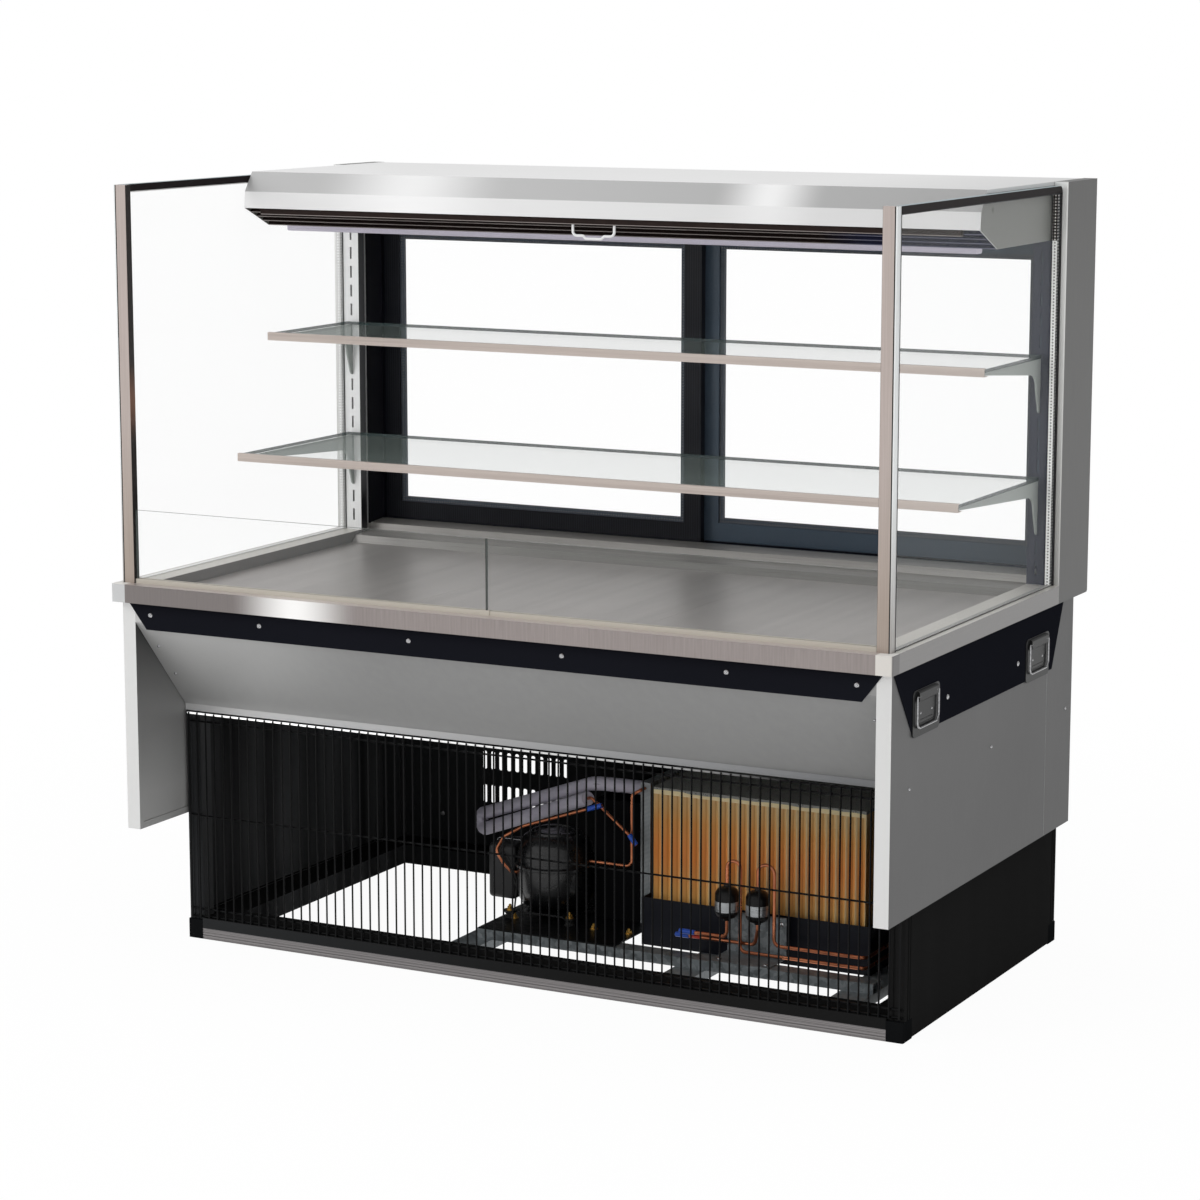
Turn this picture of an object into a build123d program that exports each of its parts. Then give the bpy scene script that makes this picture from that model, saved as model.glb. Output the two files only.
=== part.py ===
from build123d import *
import math
import os

# An open-front refrigerated display case on a short machine base.
# Millimetres. X runs along the width, Y from the customer side to the rear, Z up.
# The origin is on the floor under the middle of the case.

# ---- Whole case ----
WIDTH = 1520.0  # over the side edges of the countertop
DEPTH = 920.0  # front edge of the countertop to the back of the rear columns
HEIGHT = 1411.0  # floor to the top of the hood
COUNTER_HEIGHT = 692.0  # floor to the top of the countertop

HALF = WIDTH / 2
FRONT = -DEPTH / 2
BACK = DEPTH / 2


def back(setback):
    """Y of a face that lies the given distance behind the front edge of the countertop."""
    return FRONT + setback


# ---- Sheet and fits ----
SHEET = 1.5  # stainless and galvanised sheet
SEAT_GAP = 0.3  # between a piece and the seat that carries it
SLIDE_GAP = 0.5  # each side of a sliding door, and beside the hood
PIN_GAP = 0.05  # radial, between a pin and its bore

# ---- Countertop ----
RIM_HEIGHT = 33.0
FRONT_RIM_DEPTH = 75.0
SIDE_RIM_WIDTH = 59.0
RIM_RETURN = 25.0  # bottom flange of the rim
CORNER_CAP = 29.5
CORNER_CAP_RADIUS = 4.0
RIM_UNDERSIDE = COUNTER_HEIGHT - RIM_HEIGHT

# ---- Rear columns ----
COLUMN_THICKNESS = 25.0
COLUMN_DEPTH = 153.0
COLUMN_EDGE = 2.0
COLUMN_FOOT_CHAMFER = 5.0
COLUMN_INNER = HALF - COLUMN_THICKNESS
COLUMN_FRONT = BACK - COLUMN_DEPTH

# ---- Insulated tank ----
TANK_SIDE_GAP = 6.0  # to the side panels
TANK_WALL = 40.0
TANK_FLOOR_HEIGHT = 448.0  # floor to the underside
TANK_FRONT_SETBACK = 44.0
TANK_NOSE_DROP = 84.0  # countertop to where the front wall starts to slope back
TANK_TOE_SETBACK = 186.0
TANK_REAR_SETBACK = 895.0

# ---- Deck ----
DECK_DROP = 20.0  # countertop to deck
DECK_FRONT_GAP = 1.0
DECK_REAR_SETBACK = 722.0
DECK_HALF = 700.0
PAN_COUNT = 3
PAN_GAP = 0.5
VENT_SLOT_LENGTH = 30.0
VENT_SLOT_WIDTH = 6.0
VENT_SLOT_PITCH = 42.0
VENT_SLOT_SETBACK = 100.0
DECK_TOP = COUNTER_HEIGHT - DECK_DROP

# ---- Rear riser, a folded sheet in two treads behind the deck pans ----
RISER_FIRST_RISE = 13.0
RISER_FIRST_RUN = 14.0
RISER_TREAD = 52.0
RISER_TREAD_RISE = 4.0
RISER_SECOND_RISE = 13.0
RISER_SECOND_RUN = 6.0

# ---- Front glass ----
FRONT_GLASS_THICKNESS = 6.0
FRONT_GLASS_TOP = 824.0
GLASS_CHANNEL_SETBACK = 24.0
GLASS_CHANNEL_DEPTH = 14.0
GLASS_CHANNEL_HEIGHT = 8.0
GLASS_JOINT = 1.5  # between the two panes
JOINER_WIDTH = 18.0

# ---- End glass and its trims ----
END_PANE = 3.0
END_GLASS_INSET = 10.0  # from the side edge of the countertop
SPACER_WIDTH = 10.0
POST_INSET = 11.0
POST_WIDTH = 26.0
POST_SETBACK = 21.0
POST_DEPTH = 15.0
END_FRAME_TOP = 1404.0
TOP_BAR_HEIGHT = 12.0
REAR_TRIM = 4.0
TRIM_CORNER_RADIUS = 12.0

# ---- Hood ----
HOOD_CROWN_SETBACK = 442.0
HOOD_BROW_SETBACK = 416.5
HOOD_BROW_HEIGHT = 1375.0
HOOD_NOSE_SETBACK = 413.5
HOOD_NOSE_HEIGHT = 1344.5
HOOD_CHIN_SETBACK = 494.5
HOOD_CHIN_HEIGHT = 1308.5
DISCHARGE_START = 20.0  # nose to the first rib of the air outlet
DISCHARGE_RIBS = 4
DISCHARGE_RIB = 2.5
DISCHARGE_RIB_DEPTH = 16.0
LAMP_SETBACK = 499.0
LAMP_WIDTH = 26.0
LAMP_HEIGHT = 10.0
LAMP_HALF = 695.0

# ---- Night curtain ----
ROLLER_SETBACK = 470.0
ROLLER_HEIGHT = 1376.0
ROLLER_RADIUS = 22.0
ROLLER_END_GAP = 12.0
ROLLER_PIN_RADIUS = 5.0
CURTAIN_BAR_WIDTH = 12.0
CURTAIN_BAR_HEIGHT = 11.0
CURTAIN_HALF = 700.0
CURTAIN_THICKNESS = 0.8
GRIP_WIDTH = 88.0
GRIP_DROP = 31.0
GRIP_WIRE = 5.0
GRIP_DIP = 5.0  # the middle of the grip hangs this much lower
GRIP_DIP_WIDTH = 32.0

# ---- Rear doors ----
DOOR_FRAME_SETBACK = 842.0
DOOR_FRAME_DEPTH = 63.0
JAMB_WIDTH = 37.0
SILL_HEIGHT = 47.0
SILL_GROOVE = 8.0
HEADER_HEIGHT = 34.0
HEADER_GROOVE = 14.0
HEADER_BOTTOM = 1306.0
DOOR_THICKNESS = 16.0
TRACK_RIB = 7.0  # between the two grooves
TRACK_SETBACK = 7.5  # front of the frame to the first groove
DOOR_OVERLAP = 10.0  # how far the two doors pass each other when shut
STILE_WIDTH = 36.0
BOTTOM_RAIL = 43.0
TOP_RAIL = 40.0
DOOR_PANE = 3.0
DOOR_PANE_GAP = 6.0
GLASS_BITE = 8.0  # glass held in the door frame
PULL_LENGTH = 150.0
PULL_WIDTH = 20.0
PULL_DEPTH = 6.0
PULL_HEIGHT = 1000.0

# ---- Shelves ----
STANDARD_WIDTH = 34.0
STANDARD_DEPTH = 22.0
STANDARD_SETBACK = 760.0
SLOT_PITCH = 37.0
SLOT_LENGTH = 23.0
SLOT_WIDTH = 4.0
SLOT_FIRST = 30.0  # countertop to the middle of the lowest slot
SHELF_GLASS = 6.0
SHELF_REAR_GAP = 8.0  # glass to the standards
UPPER_SHELF_HEIGHT = 1107.5
UPPER_SHELF_SETBACK = 470.0
LOWER_SHELF_HEIGHT = 889.0
LOWER_SHELF_SETBACK = 361.0
SHELF_TRIM_HEIGHT = 15.0
SHELF_TRIM_DEPTH = 16.0
SHELF_TRIM_LIP = 8.0
SHELF_TRIM_SHEET = 1.5
SHELF_TRIM_HALF = 724.5
ARM_THICKNESS = 3.0
ARM_NOSE = 6.0
ARM_HEEL = 27.0
GUSSET_DROP = 99.0
GUSSET_WIDTH = 20.0
GUSSET_CURVE = 26.0
HOOK_LENGTH = 4.0

# ---- Machine base ----
BASE_INSET = 39.0  # side edge of the countertop to the side of the base
BASE_SETBACK = 164.0
BASE_REAR_SETBACK = 899.0
BASE_CAP = 31.5
BASE_CAP_HEIGHT = 36.0
BASE_POST = 31.0
BASE_CHANNEL_WIDTH = 75.0
BASE_CHANNEL_TOP = 40.0
BASE_CHANNEL_WALL = 2.0
FLOOR_GAP = 2.0
RAIL_HEIGHT = 20.5
RAIL_DEPTH = 35.0
RAIL_RIBS = 4
RAIL_RIB_DEPTH = 1.2
LOUVRE_LENGTH = 37.0
LOUVRE_WIDTH = 9.0
LOUVRE_PITCH = 18.5
LOUVRES_PER_GROUP = 11
LOUVRE_ROW_HEIGHTS = (148.0, 217.5)
LOUVRE_GROUP_CENTRE = 407.0

# ---- Front grille ----
WIRE = 3.6  # across the flats
WIRE_PITCH = 18.5
GRILLE_DROP = 18.0  # underside of the tank to the top of the grille
CROSS_WIRE_OFFSETS = (14.5, 0.5)  # two pairs, measured from the ends of the grille
CROSS_WIRE_MIDDLE = 235.0

# ---- Skirt and side panels ----
WING_INSET = 9.0
WING_THICKNESS = 27.0
WING_SETBACK = 21.7
WING_REAR_SETBACK = 872.0
WING_BOTTOM = 236.5
WING_SEAM_SETBACK = 741.0
WING_SEAM = 0.6
WING_RECESS = 1.2
WING_MARGIN = 12.0
SKIRT_TOP_FLANGE = 38.0
SKIRT_LIP_SETBACK = 173.0
SKIRT_LIP_DROP = 4.0  # underside of the tank to the lip
SKIRT_LIP = 12.0
SKIRT_RETURN = 12.0

# ---- Black bands under the countertop ----
BAND = 1.5
FRONT_BAND_HEIGHT = 50.0
FRONT_BAND_HALF = 738.0
FRONT_BAND_CUT = 39.0
SIDE_BAND_HEIGHT = 118.0
SIDE_BAND_START = 25.0
SIDE_BAND_LENGTH = 791.0
SIDE_BAND_FRONT_CUT = 84.0
SIDE_BAND_REAR_CUT = 56.0

# ---- Lifting handles ----
HANDLE_SETBACKS = {"front": 162.0, "rear": 682.0}
HANDLE_DROP = 116.0  # countertop to the middle of the plate
PLATE_LENGTH = 115.0
PLATE_HEIGHT = 78.0
PLATE_THICKNESS = 1.5
PLATE_CORNER = 9.0
BAIL_WIRE_RADIUS = 2.0
BAIL_SPAN = 92.0
BAIL_DROP = 52.0
BAIL_CORNER = 11.0
BAIL_PIN = 11.0
BAIL_STANDOFF = 1.0  # bail to plate
HOUSING_LENGTH = 82.0
HOUSING_HEIGHT = 18.0
PIVOT_BELOW_TOP = 11.0

# ---- Screws ----
SCREW_RADIUS = 4.5
SCREW_HEAD = 1.4
FRONT_SCREW_X = (150.0, 457.0, 690.0)
FRONT_SCREW_DROP = 23.0
SIDE_SCREW_SETBACKS = (258.0, 587.0)
SIDE_SCREW_DROP = 79.0
PANEL_SCREW_SETBACKS = (100.0, 468.0, 840.0)
PANEL_SCREW_RISE = 6.0  # above the underside of the tank
PANEL_SCREW_RADIUS = 3.0
SKIRT_SCREW_SETBACKS = (64.0, 115.0)
SKIRT_SCREW_INSET = 20.0

# ---- Condensing unit ----
CROSS_RAIL_X = (-167.0, 265.0, 585.0)
CROSS_RAIL_WIDTH = 60.0
UNIT_RAIL_HEIGHT = 18.0
LONG_RAIL_WIDTH = 36.0
LONG_RAIL_SETBACKS = (283.0, 700.0)
LONG_RAIL_ENDS = (-170.0, 615.0)
UNIT_WALL = 2.0
UNIT_PLATE = 3.0
UNIT_PLATE_X = (-165.0, 112.0)
COMPRESSOR_X = -84.0
COMPRESSOR_SETBACK = 430.0
COMPRESSOR_RADIUS = 72.0
COMPRESSOR_HEIGHT = 146.0
COMPRESSOR_SEAM = 4.0
FOOT_REACH = 88.0
FOOT_RADIUS = 13.0
GROMMET_HEIGHT = 12.0
FOOT_SHEET = 3.0
TERMINAL_BOX = (59.0, 74.0, 104.0)
TERMINAL_RADIUS = 8.0
CONDENSER_X = (84.0, 104.0)
CONDENSER_SETBACKS = (445.0, 745.0)
CONDENSER_HEIGHT = 264.0
CONDENSER_FINS = 24
FIN_GROOVE = 5.0
SHROUD_LENGTH = 91.0
SHROUD_HEIGHT = 224.0
CONDENSER_FAN_RADIUS = 100.0
FAN_HOLE_GAP = 6.0
FAN_HUB_RADIUS = 20.0
FAN_HUB_LENGTH = 24.0
FAN_BLADES = 5
FAN_PITCH = 28.0  # blade angle in degrees
FAN_SHAFT_RADIUS = 3.0
MOTOR_RADIUS = 34.0
MOTOR_LENGTH = 52.0
MOTOR_TO_HUB = 6.0
MOTOR_ARM = 8.0
BRUSH_THICKNESS = 8.0
BRUSH_HEIGHT = 22.0
BRUSH_GAP = 0.3
BRUSH_REST = 4.0  # above the lower bearing of the lead screw
SCREW_SHAFT_RADIUS = 4.0
SCREW_BLOCK = 14.0

# ---- Evaporation tray and wick ----
TRAY_X = (117.0, 566.0)
TRAY_SETBACKS = (385.0, 640.0)
TRAY_HEIGHT = 88.0
TRAY_WALL = 2.0
WICK_X = (129.0, 548.0)
WICK_SETBACKS = (402.0, 600.0)
WICK_TOP = 330.0
WICK_CAP = 12.0
WICK_PLEATS = 22
WICK_PLEAT_DEPTH = 9.0

# ---- Driers and copper lines ----
DRIER_X = (311.0, 371.0)
DRIER_RADIUS = 21.5
DRIER_LENGTH = 65.0
DRIER_BOTTOM = 121.0
DRIER_BRACKET_X = (302.0, 417.0)
DRIER_BRACKET_SETBACK = 358.0
DRIER_BRACKET_TOP = 132.0
PIPE_RADIUS = 3.2
PIPE_BEND = 12.0
LOOP_TOP = 230.0  # floor to the loops over the driers
LOOP_DOWN_X = (337.0, 403.0)
LOOP_RUNS = (67.0, 86.0)  # floor to the two level runs
LOOP_END_X = 579.0
LOOP_REACH = 130.0  # how far the loop goes back beside the tray
TURN_SLACK = 0.1  # keeps the two arcs of a full turn from meeting
STUB_ENDS = ((217.0, 90.0), (205.0, 80.0))  # X and Z of the two pinched ends

# ---- Insulated line ----
HOSE_RADIUS = 13.0

# ---- Routes at the compressor, as X, distance behind the countertop's front edge, Z ----
PROCESS_ROUTE = [
    (-144.0, 390.0, 142.0),
    (-151.5, 385.0, 142.0),
    (-170.0, 385.0, 158.0),
    (-185.0, 385.0, 180.0),
    (-168.0, 385.0, 208.0),
    (-125.0, 385.0, 233.0),
    (36.0, 385.0, 289.0),
]
SUCTION_ROUTE = [
    (-22.0, 440.0, 284.0),
    (-11.14, 432.43, 288.57),
    (76.0, 418.0, 230.0),
    (90.0, 416.0, 214.0),
]
DISCHARGE_ROUTE = [
    (-12.0, 430.0, 169.0),
    (74.0, 430.0, 169.0),
    (74.0, 430.0, 303.0),
    (92.0, 430.0, 314.0),
    (92.0, 445.0, 314.0),
]
HOSE_ROUTE = [
    (81.5, 480.0, 306.0),
    (-20.0, 462.0, 309.0),
    (-395.0, 700.0, 159.0),
    (-395.0, 700.0, 127.0),
    (-22.0, 440.0, 284.0),
]

# ---- Evaporator ----
COIL_HALF = 600.0
COIL_SETBACKS = (575.0, 735.0)
COIL_STAND = 12.0
COIL_FINS = 30
COIL_PLATE = 2.0
COIL_CLEAR_TOP = 24.0
EVAPORATOR_FAN_X = {"left": -300.0, "right": 300.0}
EVAPORATOR_FAN_SHARE = 0.34  # fan radius over the height of the fan panel
EVAPORATOR_PANEL_SETBACK = 520.0

# ---- Rear controls ----
CONTROL_X = (420.0, 640.0)
CONTROL_HEIGHT = 90.0
CONTROL_DROP = 127.0  # countertop to the middle of the box
CONTROL_DEPTH = 16.0
CONTROL_RADIUS = 6.0
DISPLAY_X = (520.0, 610.0)
DISPLAY_HEIGHT = 40.0
SWITCH_X = 465.0
SWITCH_SIZE = (24.0, 34.0)
SWITCH_THICKNESS = 5.0
SWITCH_PIN_RADIUS = 1.5
SWITCH_TRAVEL = 16.0  # degrees, from off to on
SWITCH_PROUD = 1.0  # how far the pressed-out end stands out
GLAND_X = -600.0
GLAND_HEIGHT = 95.0
GLAND_RADIUS = 11.0
GLAND_BORE = 5.0
GLAND_LENGTH = 20.0

# ---- Faces that follow from the sizes above ----
TANK_NOSE_HEIGHT = COUNTER_HEIGHT - TANK_NOSE_DROP
HANDLE_HEIGHT = COUNTER_HEIGHT - HANDLE_DROP
GRILLE_TOP = TANK_FLOOR_HEIGHT - GRILLE_DROP
SKIRT_LIP_TOP = TANK_FLOOR_HEIGHT - SKIRT_LIP_DROP
PANEL_SCREW_HEIGHT = TANK_FLOOR_HEIGHT + PANEL_SCREW_RISE
COIL_FLOOR = TANK_FLOOR_HEIGHT + TANK_WALL
EVAPORATOR_FAN_HEIGHT = (COIL_FLOOR + RIM_UNDERSIDE) / 2
EVAPORATOR_FAN_RADIUS = EVAPORATOR_FAN_SHARE * (RIM_UNDERSIDE - COIL_FLOOR)
SWITCH_HEIGHT = COUNTER_HEIGHT - CONTROL_DROP
CONTROL_HEIGHTS = (SWITCH_HEIGHT - CONTROL_HEIGHT / 2, SWITCH_HEIGHT + CONTROL_HEIGHT / 2)
DISPLAY_HEIGHTS = (SWITCH_HEIGHT - DISPLAY_HEIGHT / 2, SWITCH_HEIGHT + DISPLAY_HEIGHT / 2)
BASE_HALF = HALF - BASE_INSET
POST_FRONT = back(BASE_SETBACK) + 2 * WIRE + SEAT_GAP
POST_REAR = POST_FRONT + BASE_POST
WING_OUTER = HALF - WING_INSET
WING_INNER = WING_OUTER - WING_THICKNESS
TANK_HALF = WING_INNER - TANK_SIDE_GAP
HOOD_HALF = COLUMN_INNER - SLIDE_GAP
UNIT_TOP = BASE_CHANNEL_TOP  # the cross rails lie level with the base channels
PLATE_TOP = UNIT_TOP + UNIT_RAIL_HEIGHT + UNIT_PLATE
SILL_TOP = RIM_UNDERSIDE + SILL_HEIGHT
FRAME_FRONT = back(DOOR_FRAME_SETBACK)
FRAME_REAR = FRAME_FRONT + DOOR_FRAME_DEPTH
GROOVE = DOOR_THICKNESS + 2 * SLIDE_GAP
OPENING_HALF = COLUMN_INNER - SLIDE_GAP - JAMB_WIDTH
BAND_OUTER = WING_OUTER + BAND
PLATE_OUTER = BAND_OUTER + PLATE_THICKNESS
BAIL_X = PLATE_OUTER + BAIL_STANDOFF + BAIL_WIRE_RADIUS
PIVOT_HEIGHT = HANDLE_HEIGHT + PLATE_HEIGHT / 2 - PIVOT_BELOW_TOP
STANDARD_FRONT = back(STANDARD_SETBACK)
STANDARD_X = COLUMN_INNER - SLIDE_GAP - STANDARD_WIDTH / 2


# ---- Basic forms ----
def block(x, y, z):
    """A box between two X values, two Y values and two Z values."""
    size = (x[1] - x[0], y[1] - y[0], z[1] - z[0])
    middle = ((x[0] + x[1]) / 2, (y[0] + y[1]) / 2, (z[0] + z[1]) / 2)
    return Pos(*middle) * Box(*size)


def prism(outline, axis, low, high):
    """A closed outline in the two other axes, extruded along one axis from low to high."""
    if axis == "x":
        corners = [(low, u, v) for u, v in outline]
        way = (1, 0, 0)
    elif axis == "y":
        corners = [(u, low, v) for u, v in outline]
        way = (0, 1, 0)
    else:
        corners = [(u, v, low) for u, v in outline]
        way = (0, 0, 1)
    return extrude(make_face(Polyline(corners, close=True)), amount=high - low, dir=way)


def beside(path, distance):
    """The same path moved to its right-hand side, with mitred corners."""
    moved = []
    for i, (u, v) in enumerate(path):
        before = path[max(i - 1, 0)]
        after = path[min(i + 1, len(path) - 1)]
        into = Vector(u - before[0], v - before[1], 0) if i else Vector(after[0] - u, after[1] - v, 0)
        out = Vector(after[0] - u, after[1] - v, 0) if i < len(path) - 1 else into
        normal_in = Vector(into.Y, -into.X, 0).normalized()
        normal_out = Vector(out.Y, -out.X, 0).normalized()
        mitre = normal_in + normal_out
        step = mitre * (2 * distance / mitre.dot(mitre))
        moved.append((u + step.X, v + step.Y))
    return moved


def folded(path, thickness, axis, low, high):
    """A sheet folded along a path, which is its outer face; the metal lies to the right."""
    return prism(path + beside(path, thickness)[::-1], axis, low, high)


def rod(start, end, radius):
    """A round bar between two points."""
    line = Vector(*end) - Vector(*start)
    plane = Plane(origin=start, z_dir=line)
    return plane * Cylinder(radius, line.length, align=(Align.CENTER, Align.CENTER, Align.MIN))


def bar(start, end, across_flats, turn=0.0):
    """A six-sided bar between two points, turned about its own axis."""
    line = Vector(*end) - Vector(*start)
    side = Vector(0, 1, 0)
    plane = Plane(origin=start, x_dir=side, z_dir=line)
    section = plane * Rot(0, 0, turn) * RegularPolygon(across_flats / 2, 6, major_radius=False)
    return extrude(section, amount=line.length)


def bent_rod(points, radius, bends, sides=8):
    """A rod or tube with a many-sided section along straight runs joined by arcs."""
    path = FilletPolyline(*points, radius=bends)
    section = Plane(origin=path @ 0, z_dir=path % 0) * RegularPolygon(radius, sides)
    return sweep(section, path=path)


def both_sides(piece):
    """The piece and its mirror image on the other side of the case."""
    return [piece, mirror(piece, Plane.YZ)]


def pan_head(centre, way, radius, height):
    """An eight-sided screw head standing on a face."""
    return extrude(Plane(origin=centre, z_dir=way) * RegularPolygon(radius, 8), amount=height)


# ---- Countertop ----
def countertop_front():
    path = [
        (back(RIM_RETURN), RIM_UNDERSIDE),
        (FRONT, RIM_UNDERSIDE),
        (FRONT, COUNTER_HEIGHT),
        (back(FRONT_RIM_DEPTH), COUNTER_HEIGHT),
        (back(FRONT_RIM_DEPTH), RIM_UNDERSIDE),
    ]
    half = HALF - CORNER_CAP
    return folded(path, SHEET, "x", -half, half)


def countertop_side():
    """The right side rim: full width behind the front rim, and only its edge beside it."""
    inner = HALF - SIDE_RIM_WIDTH
    path = [
        (inner, RIM_UNDERSIDE),
        (inner, COUNTER_HEIGHT),
        (HALF, COUNTER_HEIGHT),
        (HALF, RIM_UNDERSIDE),
        (HALF - RIM_RETURN, RIM_UNDERSIDE),
    ]
    front_end = back(CORNER_CAP)
    rim = folded(path, SHEET, "y", front_end, COLUMN_FRONT)
    corner = block(
        (inner - 1, HALF - CORNER_CAP),
        (front_end - 1, back(FRONT_RIM_DEPTH)),
        (RIM_UNDERSIDE - 1, COUNTER_HEIGHT + 1),
    )
    tongue = block(
        (inner, COLUMN_INNER - SLIDE_GAP),
        (COLUMN_FRONT - SHEET, FRAME_FRONT),
        (COUNTER_HEIGHT - SHEET, COUNTER_HEIGHT),
    )
    return rim - corner + tongue


def countertop_corner_cap():
    cap = block((HALF - CORNER_CAP, HALF), (FRONT, back(CORNER_CAP)), (RIM_UNDERSIDE, COUNTER_HEIGHT))
    outer = cap.edges().filter_by(Axis.Z).sort_by(lambda e: e.center().X - e.center().Y)[-1]
    return fillet(outer, CORNER_CAP_RADIUS)


# ---- Tank, deck and riser ----
def tank():
    outer = [
        (back(TANK_FRONT_SETBACK), RIM_UNDERSIDE),
        (back(TANK_FRONT_SETBACK), TANK_NOSE_HEIGHT),
        (back(TANK_TOE_SETBACK), TANK_FLOOR_HEIGHT),
        (back(TANK_REAR_SETBACK), TANK_FLOOR_HEIGHT),
        (back(TANK_REAR_SETBACK), RIM_UNDERSIDE),
    ]
    inner = beside(outer, -TANK_WALL)
    shell = prism(outer, "x", -TANK_HALF, TANK_HALF)
    return shell - prism(inner, "x", TANK_WALL - TANK_HALF, TANK_HALF - TANK_WALL)


def deck_pans():
    """Three loose pans side by side, each an inverted tray with a row of return-air slots."""
    width = (2 * DECK_HALF - (PAN_COUNT - 1) * PAN_GAP) / PAN_COUNT
    front = back(FRONT_RIM_DEPTH + DECK_FRONT_GAP)
    rear = back(DECK_REAR_SETBACK)
    slots_per_pan = int((width - VENT_SLOT_PITCH) / VENT_SLOT_PITCH)
    pans = []
    for i in range(PAN_COUNT):
        left = -DECK_HALF + i * (width + PAN_GAP)
        pan = block((left, left + width), (front, rear), (RIM_UNDERSIDE, DECK_TOP))
        pan -= block(
            (left + SHEET, left + width - SHEET),
            (front + SHEET, rear - SHEET),
            (RIM_UNDERSIDE - 1, DECK_TOP - SHEET),
        )
        middle = left + width / 2
        row = GridLocations(VENT_SLOT_PITCH, VENT_SLOT_PITCH, slots_per_pan, 1)
        slots = [
            Pos(middle, back(VENT_SLOT_SETBACK), DECK_TOP)
            * spot
            * Box(VENT_SLOT_LENGTH, VENT_SLOT_WIDTH, 4 * SHEET)
            for spot in row
        ]
        pans.append(pan - slots)
    return pans


def rear_riser():
    start = back(DECK_REAR_SETBACK) + SEAT_GAP
    level = DECK_TOP
    path = [
        (start, RIM_UNDERSIDE),
        (start, level),
        (start + RISER_FIRST_RUN, level + RISER_FIRST_RISE),
        (start + RISER_FIRST_RUN + RISER_TREAD, level + RISER_FIRST_RISE + RISER_TREAD_RISE),
    ]
    path.append((path[-1][0] + RISER_SECOND_RUN, path[-1][1] + RISER_SECOND_RISE))
    path.append((FRAME_FRONT - SEAT_GAP, SILL_TOP))
    return folded(path, SHEET, "x", -DECK_HALF, DECK_HALF)


# ---- Front glass ----
def glass_channel():
    """A U-section on the countertop that holds both low panes, with a joiner at the middle."""
    front = back(GLASS_CHANNEL_SETBACK)
    wall = (GLASS_CHANNEL_DEPTH - FRONT_GLASS_THICKNESS) / 2 - SEAT_GAP
    top = COUNTER_HEIGHT + GLASS_CHANNEL_HEIGHT
    floor = COUNTER_HEIGHT + SHEET
    outline = [
        (front, COUNTER_HEIGHT),
        (front, top),
        (front + wall, top),
        (front + wall, floor),
        (front + GLASS_CHANNEL_DEPTH - wall, floor),
        (front + GLASS_CHANNEL_DEPTH - wall, top),
        (front + GLASS_CHANNEL_DEPTH, top),
        (front + GLASS_CHANNEL_DEPTH, COUNTER_HEIGHT),
    ]
    half = HALF - POST_INSET - POST_WIDTH - SEAT_GAP
    channel = prism(outline, "x", -half, half)
    joiner = block(
        (-JOINER_WIDTH / 2, JOINER_WIDTH / 2),
        (front - SHEET, front),
        (COUNTER_HEIGHT, top + SHEET),
    )
    return channel + joiner


def front_glass():
    middle = back(GLASS_CHANNEL_SETBACK) + GLASS_CHANNEL_DEPTH / 2
    y = (middle - FRONT_GLASS_THICKNESS / 2, middle + FRONT_GLASS_THICKNESS / 2)
    end = HALF - POST_INSET - POST_WIDTH - SEAT_GAP
    z = (COUNTER_HEIGHT + SHEET + SEAT_GAP, FRONT_GLASS_TOP)
    return both_sides(block((GLASS_JOINT / 2, end), y, z))


# ---- End glass and trims ----
def end_glass():
    """Each end is a sealed pair of panes with a spacer frame between them at the edges."""
    outer = HALF - END_GLASS_INSET
    inner = COLUMN_INNER
    y = (back(POST_SETBACK + POST_DEPTH) + SEAT_GAP, COLUMN_FRONT - REAR_TRIM - SEAT_GAP)
    z = (COUNTER_HEIGHT, END_FRAME_TOP - TOP_BAR_HEIGHT - SEAT_GAP)
    panes = [block((inner, inner + END_PANE), y, z), block((outer - END_PANE, outer), y, z)]
    gap = (inner + END_PANE, outer - END_PANE)
    spacer = block(gap, y, z) - block(
        gap,
        (y[0] + SPACER_WIDTH, y[1] - SPACER_WIDTH),
        (z[0] + SPACER_WIDTH, z[1] - SPACER_WIDTH),
    )
    return [side for piece in panes + [spacer] for side in both_sides(piece)]


def end_posts():
    outer = HALF - POST_INSET
    post = block(
        (outer - POST_WIDTH, outer),
        (back(POST_SETBACK), back(POST_SETBACK + POST_DEPTH)),
        (COUNTER_HEIGHT, END_FRAME_TOP),
    )
    front_edges = post.edges().filter_by(Axis.Z).group_by(Axis.Y)[0]
    return both_sides(fillet(front_edges, SHEET))


def end_trims():
    """The dark trim over each end glass, which turns down at the rear in a rounded corner."""
    front = back(POST_SETBACK + POST_DEPTH) + SEAT_GAP
    outline = [
        (front, END_FRAME_TOP),
        (COLUMN_FRONT, END_FRAME_TOP),
        (COLUMN_FRONT, COUNTER_HEIGHT),
        (COLUMN_FRONT - REAR_TRIM, COUNTER_HEIGHT),
        (COLUMN_FRONT - REAR_TRIM, END_FRAME_TOP - TOP_BAR_HEIGHT),
        (front, END_FRAME_TOP - TOP_BAR_HEIGHT),
    ]
    trim = prism(outline, "x", COLUMN_INNER, HALF - END_GLASS_INSET)
    corner = trim.edges().filter_by(Axis.X).sort_by(lambda e: e.center().Y + e.center().Z)[-1]
    return both_sides(fillet(corner, TRIM_CORNER_RADIUS))


# ---- Rear columns ----
def rear_columns():
    column = block((COLUMN_INNER, HALF), (COLUMN_FRONT, BACK), (RIM_UNDERSIDE, HEIGHT))
    foot = column.edges().filter_by(Axis.X).group_by(Axis.Z)[0].sort_by(Axis.Y)[-1]
    column = chamfer(foot, COLUMN_FOOT_CHAMFER)
    outer = column.edges().filter_by(Axis.Z).group_by(Axis.X)[-1]
    return both_sides(fillet(outer, COLUMN_EDGE))


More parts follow.
